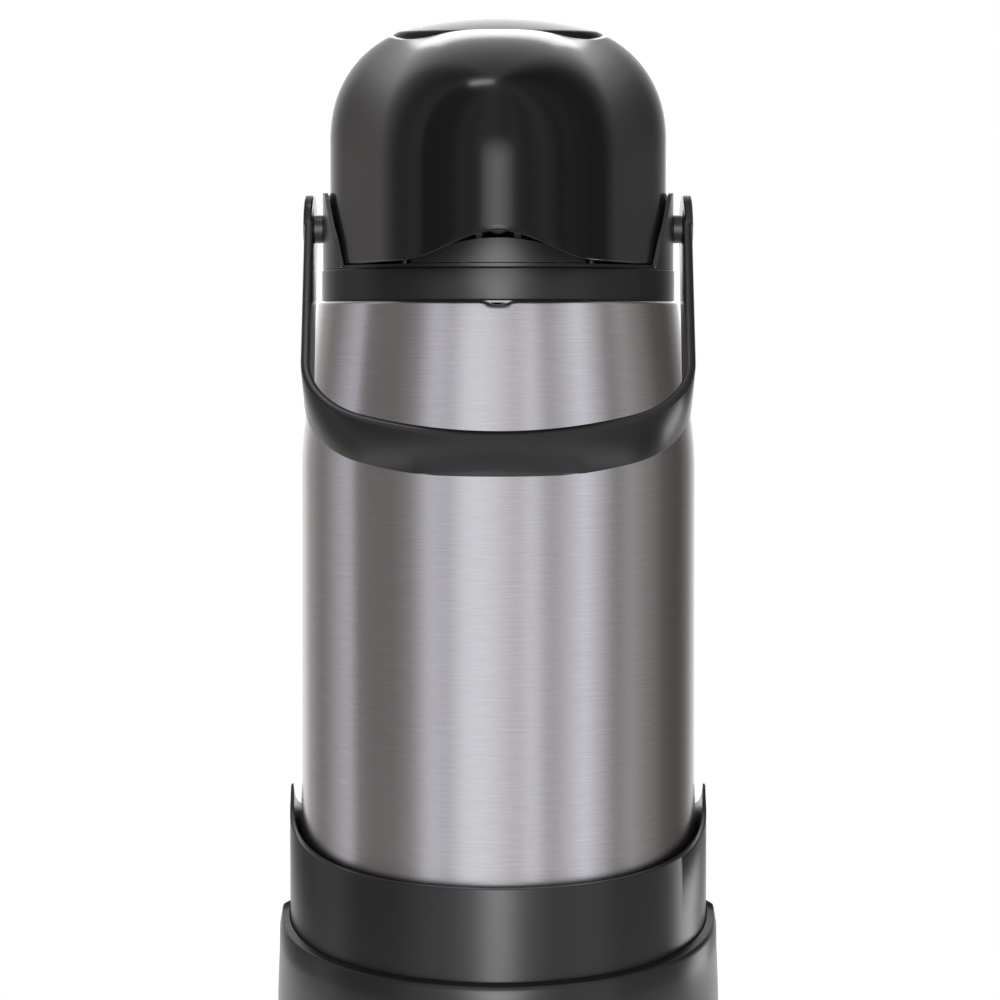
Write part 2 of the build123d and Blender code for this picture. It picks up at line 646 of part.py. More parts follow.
def lid_hull(inset, drop):
    """Solid bounded by the lid's three outlines, moved in by the inset, its underside lower by the drop."""
    with BuildPart() as hull:
        with BuildSketch(Plane.XY.offset(LID_BOTTOM_Z - drop)):
            Circle(LID_R - inset)
            with Locations((0, NOSE_R - BEAK_REACH)):
                Circle(NOSE_R - inset)
            make_hull()
        extrude(amount=TOP_OVER_Z - LID_BOTTOM_Z + drop)
        with BuildSketch(Plane.XZ) as front:
            with BuildLine():
                FilletPolyline(
                    (0, LID_BOTTOM_Z - 2 * drop),
                    (LID_R, LID_BOTTOM_Z - 2 * drop),
                    (LID_R - 0.4, SHOULDER_Z),
                    (SHOULDER_X, TOP_OVER_Z),
                    (0, TOP_OVER_Z),
                    radius=(0, SHOULDER_R, 0),
                )
                Line((0, TOP_OVER_Z), (0, LID_BOTTOM_Z - 2 * drop))
            make_face()
            mirror(about=Plane.YZ)
            if inset > 0:
                offset(amount=-inset, mode=Mode.REPLACE)
        extrude(amount=2 * LID_R, both=True, mode=Mode.INTERSECT)
        with BuildSketch(Plane.YZ) as side:
            with BuildLine():
                FilletPolyline(
                    (-60.0, LID_BOTTOM_Z - 2 * drop),
                    (-99.0, LID_BOTTOM_Z + 5.2 - 2 * drop),
                    (-BEAK_REACH, BEAK_LIP_Z - 2 * drop),
                    (-BEAK_REACH, 338.0),
                    (-66.0, top_plane_z(-66.0)),
                    (LID_R, top_plane_z(LID_R)),
                    (LID_R, LID_BOTTOM_Z - 2 * drop),
                    radius=(20.0, 2.0, 40.0, 50.0, 34.0),
                )
                Line((LID_R, LID_BOTTOM_Z - 2 * drop), (-60.0, LID_BOTTOM_Z - 2 * drop))
            make_face()
            if inset > 0:
                offset(amount=-inset, mode=Mode.REPLACE)
        extrude(amount=2 * LID_R, both=True, mode=Mode.INTERSECT)
    return hull.part


outer_hull = lid_hull(0, 0)
inner_hull = lid_hull(LID_WALL, 4 * LID_WALL)
with BuildPart() as well_tube:
    ring(WELL_R + WELL_WALL, WELL_R, WELL_BOTTOM_Z, TOP_OVER_Z)
    add(outer_hull, mode=Mode.INTERSECT)
BOSS_R = 4.2
BOSS_TOP_Z = 340.0
with BuildPart() as lid_bosses:
    for angle in LID_SCREW_ANGLES:
        with Locations((*on_circle(LID_SCREW_R, angle), LID_PLATE_TOP)):
            Cylinder(BOSS_R, BOSS_TOP_Z - LID_PLATE_TOP, align=(Align.CENTER, Align.CENTER, Align.MIN))
    add(outer_hull, mode=Mode.INTERSECT)
BARREL_WEB_TOP_Z = HINGE_Z + HINGE_BARREL_R
with BuildPart() as lid_shell:
    add(outer_hull)
    add(inner_hull, mode=Mode.SUBTRACT)
    add(lid_bosses.part)
    add(well_tube.part)
    ring(WELL_R, 0.0, WELL_BOTTOM_Z, TOP_OVER_Z, mode=Mode.SUBTRACT)
    for angle in LID_SCREW_ANGLES:
        with Locations((*on_circle(LID_SCREW_R, angle), LID_PLATE_TOP)):
            Cylinder(1.5, 14.0, align=(Align.CENTER, Align.CENTER, Align.MIN), mode=Mode.SUBTRACT)
    # Hinge barrel behind.
    web_y_span = (LID_R - LID_WALL, HINGE_Y)
    block((-HINGE_BARREL_HALF, HINGE_BARREL_HALF), web_y_span, (HINGE_Z - 1.5, BARREL_WEB_TOP_Z))
    with BuildSketch(Plane.YZ):
        with Locations((HINGE_Y, HINGE_Z)):
            Circle(HINGE_BARREL_R)
    extrude(amount=HINGE_BARREL_HALF, both=True)
    with BuildSketch(Plane.YZ):
        with Locations((HINGE_Y, HINGE_Z)):
            Circle(HINGE_PIN_R + PIN_RUN)
    extrude(amount=HINGE_BARREL_HALF + 1.0, both=True, mode=Mode.SUBTRACT)
save(lid_shell, "lid_shell")

# Plate that closes the lid's pump chamber from below, with the duct down to the mouth and the latch's keeper.
AIR_HOLE_Y = 14.0
AIR_HOLE_R = 6.0
KEEPER_HALF = 8.0
KEEPER_Y = (-61.0, -57.0)
KEEPER_Z = (292.0, HOOK_Z - 0.3)
KEEPER_LEG_IN = PIPE_R + 0.6
with BuildPart() as lid_plate:
    ring(LID_PLATE_R, 0.0, LID_PLATE_Z, LID_PLATE_TOP)
    ring(DUCT_R, DUCT_BORE_R, DUCT_FOOT_Z, LID_PLATE_Z)
    with BuildSketch(Plane.XZ):
        with Locations((0, PIPE_Z)):
            Circle(PIPE_R + 0.1)
    extrude(amount=DUCT_R + 2.0, mode=Mode.SUBTRACT)
    with Locations((0, AIR_HOLE_Y, LID_PLATE_Z)):
        Cylinder(AIR_HOLE_R, 12.0, mode=Mode.SUBTRACT)
    for angle in LID_SCREW_ANGLES:
        with Locations((*on_circle(LID_SCREW_R, angle), LID_PLATE_Z)):
            Cylinder(1.6, 12.0, mode=Mode.SUBTRACT)
    block((-KEEPER_HALF, KEEPER_HALF), KEEPER_Y, KEEPER_Z)
    for side in (-1, 1):
        leg_x = sorted((side * KEEPER_LEG_IN, side * KEEPER_HALF))
        block(leg_x, (KEEPER_Y[1] - 2.0, KEEPER_Y[1]), (KEEPER_Z[0], LID_PLATE_Z))
save(lid_plate, "lid_plate")

with BuildPart() as lid_screws:
    for angle in LID_SCREW_ANGLES:
        screw_x, screw_y = on_circle(LID_SCREW_R, angle)
        screw(Plane(origin=(screw_x, screw_y, LID_PLATE_Z), z_dir=(0, 0, 1)), 1.45, 14.0, 2.9, 1.8)
save(lid_screws, "lid_screws")

# Rubber flap that lets air down into the flask and not back.
with BuildPart() as air_flap:
    with Locations((0, AIR_HOLE_Y, LID_PLATE_Z)):
        Cylinder(AIR_HOLE_R + 2.5, 1.0, align=(Align.CENTER, Align.CENTER, Align.MAX))
save(air_flap, "air_flap")

# Rubber seal on the duct's foot, just clear of the tube head.
with BuildPart() as mouth_seal:
    ring(DUCT_R + 1.2, DUCT_BORE_R - 1.2, HEAD_TOP + 0.3, DUCT_FOOT_Z)
    fillet(mouth_seal.edges().group_by(Axis.Z)[0], radius=0.8)
save(mouth_seal, "mouth_seal")

# Delivery pipe: up from the seal, then forward to the spout.
PIPE_END_Y = SPOUT_Y + 4.0
with BuildPart() as delivery_pipe:
    with BuildLine():
        FilletPolyline((0, 0, PIPE_FOOT_Z), (0, 0, PIPE_Z), (0, PIPE_END_Y, PIPE_Z), radius=PIPE_BEND_R)
    with BuildSketch(Plane.XY.offset(PIPE_FOOT_Z)):
        Circle(PIPE_R)
        Circle(PIPE_BORE_R, mode=Mode.SUBTRACT)
    sweep()
    ring(SEAL_RING_R + 1.6, PIPE_R - 0.5, PIPE_FOOT_Z, PIPE_FOOT_Z + 2.0)
save(delivery_pipe, "delivery_pipe")

SPOUT_TAPER_Z = 303.5
with BuildPart() as spout_nozzle:
    with BuildSketch(Plane(origin=(0, SPOUT_Y, 0), x_dir=(1, 0, 0), z_dir=(0, -1, 0))):
        with BuildLine():
            Polyline(
                (PIPE_BORE_R, SPOUT_TIP_Z),
                (SPOUT_R - 2.5, SPOUT_TIP_Z),
                (SPOUT_R, SPOUT_TAPER_Z),
                (SPOUT_R, SPOUT_TOP_Z),
                (0, SPOUT_TOP_Z),
                (0, SPOUT_TOP_Z - 2.0),
                (PIPE_BORE_R, SPOUT_TOP_Z - 2.0),
                (PIPE_BORE_R, SPOUT_TIP_Z),
            )
        make_face()
    revolve(axis=Axis((0, SPOUT_Y, 0), (0, 0, 1)))
    with BuildSketch(Plane.XZ.offset(-PIPE_END_Y)):
        with Locations((0, PIPE_Z)):
            Circle(PIPE_R + 0.02)
    extrude(amount=-SPOUT_R, mode=Mode.SUBTRACT)
save(spout_nozzle, "spout_nozzle")

# ---------------------------------------------------------------- bellows, spring and button
BELLOWS_LID_T = 1.2
BELLOWS_FLANGE_R = 36.0
fold = (BELLOWS_TOP_Z - BELLOWS_LID_T - BELLOWS_BOTTOM_Z - BELLOWS_LID_T) / (2 * BELLOWS_TURNS)
wall_heights = [BELLOWS_BOTTOM_Z + BELLOWS_LID_T + fold * step for step in range(2 * BELLOWS_TURNS + 1)]
outer_wall = [(BELLOWS_R if step % 2 else BELLOWS_ROOT_R, z) for step, z in enumerate(wall_heights)]
inner_wall = [(radius - BELLOWS_T, z) for radius, z in reversed(outer_wall)]
with BuildPart() as bellows:
    with BuildSketch(Plane.XZ):
        with BuildLine():
            Polyline(
                (BELLOWS_FLANGE_R, BELLOWS_BOTTOM_Z),
                (BELLOWS_FLANGE_R, BELLOWS_BOTTOM_Z + BELLOWS_LID_T),
                *outer_wall,
                (BELLOWS_ROOT_R, BELLOWS_TOP_Z),
                (0, BELLOWS_TOP_Z),
                (0, BELLOWS_TOP_Z - BELLOWS_LID_T),
                *inner_wall,
                (BELLOWS_ROOT_R - BELLOWS_T, BELLOWS_BOTTOM_Z),
                (BELLOWS_FLANGE_R, BELLOWS_BOTTOM_Z),
            )
        make_face()
    revolve(axis=Axis.Z)
save(bellows, "bellows")

SPRING_BOTTOM_Z = BELLOWS_BOTTOM_Z + SPRING_WIRE_R + 0.1
SPRING_TOP_Z = BELLOWS_TOP_Z - BELLOWS_LID_T - SPRING_WIRE_R - 0.1
SPRING_HEIGHT = SPRING_TOP_Z - SPRING_BOTTOM_Z
with BuildPart() as return_spring:
    with BuildLine() as coil:
        Helix(SPRING_HEIGHT / SPRING_TURNS, SPRING_HEIGHT, SPRING_R, center=(0, 0, SPRING_BOTTOM_Z))
    with BuildSketch(Plane(origin=coil.edge() @ 0, z_dir=coil.edge() % 0)):
        Circle(SPRING_WIRE_R)
    sweep(path=coil.edge())
save(return_spring, "return_spring")

BELLOWS_PLATE_T = 3.0
with BuildPart() as bellows_plate:
    ring(BELLOWS_ROOT_R + 3.0, 0.0, BELLOWS_TOP_Z, BELLOWS_TOP_Z + BELLOWS_PLATE_T)
save(bellows_plate, "bellows_plate")

# Push button: a cap whose crown is a part of a sphere, tilted with the lid's top.
BUTTON_WALL = 2.5
BUTTON_STEM_R = 8.0
CROWN_BASE_Z = TOP_Z + 0.4
crown_sphere_r = (BUTTON_R**2 + BUTTON_CROWN**2) / (2 * BUTTON_CROWN)
crown_sink = (crown_sphere_r - BUTTON_CROWN) / math.hypot(1.0, TOP_SLOPE)
crown_center = (0, TOP_SLOPE * crown_sink, CROWN_BASE_Z - crown_sink)
with BuildPart() as button_hollow:
    ring(BUTTON_R - BUTTON_WALL, 0.0, BUTTON_SKIRT_Z, TOP_OVER_Z)
    with Locations(crown_center):
        Sphere(crown_sphere_r - BUTTON_WALL, mode=Mode.INTERSECT)
with BuildPart() as push_button:
    ring(BUTTON_R, 0.0, BUTTON_SKIRT_Z, TOP_OVER_Z)
    with Locations(crown_center):
        Sphere(crown_sphere_r, mode=Mode.INTERSECT)
    add(button_hollow.part, mode=Mode.SUBTRACT)
    ring(BUTTON_STEM_R, 0.0, BELLOWS_TOP_Z + BELLOWS_PLATE_T, CROWN_BASE_Z + BUTTON_CROWN - 1.6)
save(push_button, "push_button")
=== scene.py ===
"""Studio scene of a thermal airpot: its shown pieces, their finishes, the light and the camera.

Lengths are in millimetres until they become mesh coordinates. +Z is up and the spout points to -Y.
"""

import logging
import math
from dataclasses import dataclass, field
from enum import Enum
from typing import Callable, Optional, Sequence

import bmesh
import bpy
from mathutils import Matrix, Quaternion, Vector


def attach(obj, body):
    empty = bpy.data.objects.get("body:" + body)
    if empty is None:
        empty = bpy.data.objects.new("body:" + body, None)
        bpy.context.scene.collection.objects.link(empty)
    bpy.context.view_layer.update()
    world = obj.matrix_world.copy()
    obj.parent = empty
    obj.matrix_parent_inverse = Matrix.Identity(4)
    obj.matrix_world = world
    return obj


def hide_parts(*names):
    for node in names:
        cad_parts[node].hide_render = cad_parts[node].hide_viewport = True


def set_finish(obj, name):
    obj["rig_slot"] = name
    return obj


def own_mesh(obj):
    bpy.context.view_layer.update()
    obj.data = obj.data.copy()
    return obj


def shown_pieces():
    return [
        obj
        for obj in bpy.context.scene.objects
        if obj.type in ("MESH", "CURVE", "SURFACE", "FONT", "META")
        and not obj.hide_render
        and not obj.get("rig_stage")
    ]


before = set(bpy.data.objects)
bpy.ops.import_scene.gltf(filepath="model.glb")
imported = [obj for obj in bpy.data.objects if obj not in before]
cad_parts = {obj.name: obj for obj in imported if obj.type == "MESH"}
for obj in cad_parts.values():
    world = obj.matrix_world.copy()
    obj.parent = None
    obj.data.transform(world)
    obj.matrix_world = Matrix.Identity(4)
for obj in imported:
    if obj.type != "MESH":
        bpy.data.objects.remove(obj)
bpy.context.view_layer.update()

LOG = logging.getLogger("airpot")
MM = 0.001

Corner = tuple[float, float]
Rounding = tuple[float, float, float]


class Body(Enum):
    """Moving parts that the built pieces ride on."""

    POT = "pot"
    LID = "lid"
    BUTTON = "button"
    BAIL = "bail"


class Slot(Enum):
    """Finish slots of the built pieces."""

    JACKET = "jacket_steel"
    BASE = "base_plastic"
    RING = "ring_plastic"
    LID = "lid_plastic"
    BUTTON = "button_plastic"
    BAIL = "bail_plastic"
    RUBBER = "rubber"
    SILICONE = "silicone"
    SCREW = "screw_steel"


# ---------------------------------------------------------------- finishes


def linear(hex_colour: str) -> tuple[float, float, float, float]:
    """Turn an sRGB hex colour into linear light.

    Args:
        hex_colour: six hex digits with a leading #.

    Returns:
        Linear red, green, blue and an alpha of 1.
    """
    levels = [int(hex_colour[at : at + 2], 16) / 255 for at in (1, 3, 5)]
    red, green, blue = (c / 12.92 if c <= 0.04045 else ((c + 0.055) / 1.055) ** 2.4 for c in levels)
    return red, green, blue, 1.0


def add_node(tree: bpy.types.NodeTree, kind: str, options: Optional[dict] = None, **inputs) -> bpy.types.Node:
    """Add a node, set its options, and set or link its inputs.

    Args:
        tree: node tree that the node goes into.
        kind: Blender's name of the node type.
        options: node attributes by name.
        **inputs: input values or output sockets, by input name with _ for a space.

    Returns:
        The new node.
    """
    node = tree.nodes.new(kind)
    for name, value in (options or {}).items():
        setattr(node, name, value)
    for name, value in inputs.items():
        socket = node.inputs[name.replace("_", " ")]
        if isinstance(value, bpy.types.NodeSocket):
            tree.links.new(value, socket)
        else:
            socket.default_value = value
    return node


def principled(tree: bpy.types.NodeTree, **inputs) -> bpy.types.Node:
    """Add a Principled shader with the given inputs."""
    return add_node(tree, "ShaderNodeBsdfPrincipled", **inputs)


@dataclass(frozen=True)
class Finish:
    """A plain finish: one colour, one roughness and a fine grain that breaks up its highlights.

    Attributes:
        name: what it is and how it was made.
        colour: sRGB hex colour.
        roughness: width of its highlights.
        grain_mm: size of the surface grain.
        grain_depth_mm: depth of the grain.
        specular: strength of its reflections seen straight on, 0.5 for plain plastic.
    """

    name: str
    colour: str
    roughness: float
    grain_mm: float = 0.5
    grain_depth_mm: float = 0.004
    specular: float = 0.5

    def surface(self, tree: bpy.types.NodeTree) -> bpy.types.Node:
        """Add the shader with its constant values."""
        colour = linear(self.colour)
        return principled(tree, Base_Color=colour, Roughness=self.roughness, Specular_IOR_Level=self.specular)

    def emboss(self, tree: bpy.types.NodeTree, shader: bpy.types.Node, pattern: bpy.types.Node) -> None:
        """Raise a noise pattern on the surface by the grain's depth.

        Args:
            tree: node tree of the material.
            shader: shader that gets the bump.
            pattern: noise node.
        """
        depth = self.grain_depth_mm * MM
        bump = add_node(tree, "ShaderNodeBump", Height=pattern.outputs["Fac"], Strength=1.0, Distance=depth)
        tree.links.new(bump.outputs["Normal"], shader.inputs["Normal"])

    def texture(self, tree: bpy.types.NodeTree, shader: bpy.types.Node) -> None:
        """Add the fine grain of a moulding tool as a bump.

        Args:
            tree: node tree of the material.
            shader: shader that gets the grain.
        """
        place = add_node(tree, "ShaderNodeTexCoord")
        grain = add_node(
            tree,
            "ShaderNodeTexNoise",
            Vector=place.outputs["Object"],
            Scale=1 / (self.grain_mm * MM),
            Detail=2.0,
            Roughness=0.6,
        )
        self.emboss(tree, shader, grain)

    def material(self) -> bpy.types.Material:
        """Return this finish as a material, made once per name."""
        found = bpy.data.materials.get(self.name)
        if found is not None:
            return found
        made = bpy.data.materials.new(self.name)
        made.use_nodes = True
        made.diffuse_color = linear(self.colour)
        tree = made.node_tree
        tree.nodes.clear()
        shader = self.surface(tree)
        self.texture(tree, shader)
        output = add_node(tree, "ShaderNodeOutputMaterial")
        tree.links.new(shader.outputs["BSDF"], output.inputs["Surface"])
        return made


@dataclass(frozen=True)
class BrushedSteel(Finish):
    """Sheet steel brushed round the body, so its reflections spread up and down into vertical bands.

    Attributes:
        line_mm: height of one brush line.
        line_length_mm: length of one brush line.
        dark: sRGB hex colour of the deeper brush lines.
        anisotropy: how far the highlights spread across the brush lines.
    """

    line_mm: float = 0.11
    line_length_mm: float = 12.0
    dark: str = "#C4C3C4"
    anisotropy: float = 0.75

    def surface(self, tree: bpy.types.NodeTree) -> bpy.types.Node:
        """Add a metal whose highlights stretch across the brush lines."""
        around = add_node(tree, "ShaderNodeTangent", {"direction_type": "RADIAL", "axis": "Z"})
        return principled(
            tree,
            Metallic=1.0,
            Roughness=self.roughness,
            Anisotropic=self.anisotropy,
            Anisotropic_Rotation=0.25,
            Tangent=around.outputs["Tangent"],
        )

    def texture(self, tree: bpy.types.NodeTree, shader: bpy.types.Node) -> None:
        """Add brush lines to the colour and the bump.

        Args:
            tree: node tree of the material.
            shader: shader that gets the lines.
        """
        place = add_node(tree, "ShaderNodeTexCoord")
        along, across = 1 / (self.line_length_mm * MM), 1 / (self.line_mm * MM)
        scale = (along, along, across)
        stretched = add_node(tree, "ShaderNodeMapping", Vector=place.outputs["Object"], Scale=scale)
        lines = add_node(
            tree,
            "ShaderNodeTexNoise",
            Vector=stretched.outputs["Vector"],
            Scale=1.0,
            Detail=5.0,
            Roughness=0.7,
        )
        tint = add_node(tree, "ShaderNodeValToRGB", Fac=lines.outputs["Fac"])
        for stop, at, colour in zip(tint.color_ramp.elements, (0.3, 0.7), (self.dark, self.colour)):
            stop.position, stop.color = at, linear(colour)
        tree.links.new(tint.outputs["Color"], shader.inputs["Base Color"])
        self.emboss(tree, shader, lines)


@dataclass(frozen=True)
class Metal(Finish):
    """Bare metal without a brushing direction."""

    def surface(self, tree: bpy.types.NodeTree) -> bpy.types.Node:
        """Add a plain metal."""
        return principled(tree, Base_Color=linear(self.colour), Metallic=1.0, Roughness=self.roughness)


@dataclass(frozen=True)
class Translucent(Finish):
    """Milky flexible moulding that lets some light through."""

    depth_mm: float = 1.5

    def surface(self, tree: bpy.types.NodeTree) -> bpy.types.Node:
        """Add a shader with light scattered below the surface."""
        return principled(
            tree,
            Base_Color=linear(self.colour),
            Roughness=self.roughness,
            Subsurface_Weight=0.4,
            Subsurface_Radius=(1.0, 1.0, 1.0),
            Subsurface_Scale=self.depth_mm * MM,
        )


@dataclass(frozen=True)
class Glow(Finish):
    """Matt sheet that also gives off a little light of its own."""

    glow: float = 0.3

    def surface(self, tree: bpy.types.NodeTree) -> bpy.types.Node:
        """Add a matt shader with a constant glow."""
        return principled(
            tree,
            Base_Color=linear(self.colour),
            Roughness=self.roughness,
            Emission_Color=linear(self.colour),
            Emission_Strength=self.glow,
        )


# Cool grey sheet with fine level brush lines: broad soft bands of light that run straight up the wall.
JACKET_STEEL = BrushedSteel("steel sheet, brushed round the body", "#DDDCDF", 0.27, grain_depth_mm=0.0006)
# Smooth near-black moulding with a polished tool mark: sharp pale edges and one narrow highlight.
LID_GLOSS = Finish("polypropylene, black, polished mould", "#131314", 0.17, 0.9, 0.0008, specular=0.18)
# A softer polish on the button, so its crown melts into the lid's top.
BUTTON_GLOSS = Finish(
    "polypropylene, black, polished mould, button", "#131314", 0.33, 0.9, 0.0008, specular=0.25
)
# Fine spark-eroded texture: a dark charcoal with a wide dull sheen.
BASE_SATIN = Finish("polypropylene, charcoal, fine spark-eroded mould", "#1B1B1C", 0.3, 0.35, 0.003)
# Slightly darker satin, so the ring reads as its own moulding against the steel.
RING_SATIN = Finish("polypropylene, black, satin mould", "#1C1C1D", 0.33, 0.45, 0.003, specular=0.4)
# Satin with a softer sheen for the neck and ears.
NECK_SATIN = Finish("polypropylene, black, satin mould, neck", "#1C1C1D", 0.34, 0.45, 0.004)
# Tough glass-filled strip: satin with bright bevels.
BAIL_SATIN = Finish("nylon, black, satin mould", "#1A1A1B", 0.3, 0.4, 0.003, specular=0.4)
# Plain unpolished black for what sits inside.
INNER_PLASTIC = Finish("polypropylene, black, plain mould", "#1D1D1E", 0.5, 0.6, 0.006)
# Matt black rubber that hardly shines.
RUBBER = Finish("rubber, black, pressed", "#171717", 0.75, 0.5, 0.01)
# Milky silicone with a soft glow in its thin lips.
SILICONE = Translucent("silicone, milky, pressed", "#D9D8D2", 0.5, 0.8, 0.004)
# Silvered vacuum glass: a cool mirror.
SILVERED_GLASS = Metal("glass, silvered inside the vacuum", "#D5D8DB", 0.08, 4.0, 0.004)
# Bright matt table top that melts into the white room.
TABLE_WHITE = Glow("table top, matt white, lit through", "#FAFAFA", 0.9, 3.0, 0.001, glow=0.6)
# Bright plated screws.
SCREW_STEEL = Metal("steel, zinc plated, cold headed", "#B9B8B4", 0.32, 0.3, 0.004)


# ---------------------------------------------------------------- mesh helpers


def spin_loop(
    mesh: bmesh.types.BMesh, points: Sequence[Vector], center: Vector, axis: Vector, steps: int
) -> None:
    """Spin a closed loop of points once round an axis.

    Args:
        mesh: mesh that the body is added to.
        points: the loop's points in metres.
        center: point on the axis in metres.
        axis: direction of the axis.
        steps: number of steps in the full turn.
    """
    corners = [mesh.verts.new(point) for point in points]
    edges = [mesh.edges.new((corner, corners[at - 1])) for at, corner in enumerate(corners)]
    loop = corners + edges
    bmesh.ops.spin(mesh, geom=loop, cent=center, axis=axis, angle=math.tau, steps=steps, use_merge=True)


def spin_outline(mesh: bmesh.types.BMesh, outline: Sequence[Corner], steps: int) -> None:
    """Spin a closed outline about Z into a closed body.

    Args:
        mesh: mesh that the body is added to.
        outline: (radius, height) corners in mm, in order round the outline.
        steps: number of steps in the full turn.
    """
    points = [Vector((radius * MM, 0, height * MM)) for radius, height in outline]
    spin_loop(mesh, points, Vector((0, 0, 0)), Vector((0, 0, 1)), steps)
    bmesh.ops.remove_doubles(mesh, verts=mesh.verts, dist=1e-7)
    bmesh.ops.recalc_face_normals(mesh, faces=mesh.faces)


def round_rings(mesh: bmesh.types.BMesh, roundings: Sequence[Rounding], segments: int = 3) -> None:
    """Round the ring edges of a spun body.

    Args:
        mesh: mesh with the spun body.
        roundings: (radius, height, rounding) of each ring edge in mm.
        segments: faces across each rounding.
    """
    for radius, height, rounding in roundings:
        ring = [edge for edge in mesh.edges if all(on_ring(vert.co, radius, height) for vert in edge.verts)]
        bevel(mesh, ring, rounding, segments)


def on_ring(point: Vector, radius: float, height: float) -> bool:
    """Tell whether a mesh point lies on a ring about Z, given in mm."""
    return abs(math.hypot(point.x, point.y) - radius * MM) < 2e-5 and abs(point.z - height * MM) < 2e-5


def bevel(mesh: bmesh.types.BMesh, edges: Sequence[bmesh.types.BMEdge], width: float, segments: int) -> None:
    """Round some edges.

    Args:
        mesh: mesh with the edges.
        edges: the edges to round.
        width: width of the rounding in mm.
        segments: faces across the rounding.
    """
    bmesh.ops.bevel(
        mesh,
        geom=list(edges),
        offset=width * MM,
        offset_type="OFFSET",
        segments=segments,
        profile=0.5,
        affect="EDGES",
        material=-1,
    )


def wrap_grid(
    mesh: bmesh.types.BMesh, around: int, along: int, place: Callable[[float, float], Vector]
) -> None:
    """Wrap a flat grid into a body that closes both ways.

    Args:
        mesh: mesh that the body is added to.
        around: faces in the first direction.
        along: faces in the second direction.
        place: point in mm for two shares from 0 to 1.
    """
    grid = bmesh.ops.create_grid(mesh, x_segments=around, y_segments=along, size=1.0)
    for vert in grid["verts"]:
        vert.co = place((vert.co.x + 1) / 2, (vert.co.y + 1) / 2) * MM
    bmesh.ops.remove_doubles(mesh, verts=mesh.verts, dist=1e-7)
    bmesh.ops.recalc_face_normals(mesh, faces=mesh.faces)


def loft(mesh: bmesh.types.BMesh, rings: Sequence[Sequence[Vector]]) -> None:
    """Join rings of points into one body with closed ends.

    Args:
        mesh: mesh that the body is added to.
        rings: rings in order, each with the same number of points in mm.
    """
    loops = [[mesh.verts.new(point * MM) for point in ring] for ring in rings]
    for near, far in zip(loops, loops[1:]):
        for at in range(len(near)):
            mesh.faces.new((near[at - 1], near[at], far[at], far[at - 1]))
    mesh.faces.new(loops[0])
    mesh.faces.new(loops[-1])


def swing(start: Vector, end: Vector, share: float) -> Vector:
    """Turn a spoke evenly from one direction to another, keeping its length.

    Args:
        start: spoke at share 0.
        end: spoke of the same length at share 1.
        share: how far it has turned.

    Returns:
        The turned spoke.
    """
    return start.normalized().slerp(end.normalized(), share) * start.length


def rounded_outline(corners: Sequence[Corner], radii: Sequence[float], segments: int) -> list[Vector]:
    """Round the corners of a closed flat outline.

    Args:
        corners: flat points in order.
        radii: rounding of each corner, 0 where it stays sharp.
        segments: steps in each rounding.

    Returns:
        The points of the rounded outline.
    """
    points: list[Vector] = []
    for at, (corner, radius) in enumerate(zip(corners, radii)):
        here = Vector(corner)
        if radius <= 0:
            points.append(here)
            continue
        back = (Vector(corners[at - 1]) - here).normalized()
        ahead = (Vector(corners[(at + 1) % len(corners)]) - here).normalized()
        half = back.angle(ahead) / 2
        center = here + (back + ahead).normalized() * radius / math.sin(half)
        start = here + back * radius / math.tan(half) - center
        end = here + ahead * radius / math.tan(half) - center
        points += [center + swing(start, end, step / segments) for step in range(segments + 1)]
    return points


def finish_piece(
    mesh: bmesh.types.BMesh,
    name: str,
    finish: Finish,
    body: Body,
    slot: Slot,
    nodes: Sequence[str],
    sharp_degrees: float = 40.0,
) -> bpy.types.Object:
    """Turn a mesh into a shown piece that stands for CAD nodes and rides on a body.

    Args:
        mesh: the finished mesh, freed here.
        name: name of the piece.
        finish: its finish.
        body: body that it rides on.
        slot: finish slot that it is given.
        nodes: CAD nodes that it stands for.
        sharp_degrees: angle above which an edge stays crisp.

    Returns:
        The new object.
    """
    data = bpy.data.meshes.new(name)
    mesh.to_mesh(data)
    mesh.free()
    data.shade_smooth()
    data.set_sharp_from_angle(angle=math.radians(sharp_degrees))
    data.materials.append(finish.material())
    piece = bpy.data.objects.new(name, data)
    bpy.context.scene.collection.objects.link(piece)
    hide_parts(*nodes)
    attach(piece, body.value)
    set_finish(piece, slot.value)
    LOG.info("%s: %d faces, %s", name, len(data.polygons), finish.name)
    return piece


def dress_nodes(finish: Finish, *nodes: str) -> None:
    """Give CAD nodes their finish.

    Args:
        finish: the finish.
        *nodes: names of the nodes.
    """
    for node in nodes:
        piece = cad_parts[node]
        piece.data.materials.clear()
        piece.data.materials.append(finish.material())
        LOG.info("%s: CAD node, %s", node, finish.name)


# ---------------------------------------------------------------- pot


@dataclass
class Scallop:
    """Top edge that is low in front and behind and rises to a point at each side.

    Attributes:
        low: height of the edge in front.
        peak: height at the sides.
        radius: radius of the wall that carries it.
    """

    low: float
    peak: float
    radius: float

    def height(self, y: float) -> float:
        """Height of the edge at a distance behind the middle, in mm."""
        share = min(1.0, max(0.0, 1 - abs(y) / self.radius))
        return self.peak - (self.peak - self.low) * math.sqrt(1 - share**2)

    def shape(self, mesh: bmesh.types.BMesh, above: float) -> None:
        """Drop a flat rim at the peak to the edge's height.

        Args:
            mesh: body whose rim stands at the peak height.
            above: height in mm under which nothing moves.
        """
        for vert in mesh.verts:
            high = vert.co.z / MM
            if high > above:
                turned = vert.co.y / MM * self.radius / math.hypot(vert.co.x / MM, vert.co.y / MM)
                drop = self.peak - self.height(turned)
                vert.co.z = (high - drop * min(1.0, (high - above) / (self.peak - above))) * MM


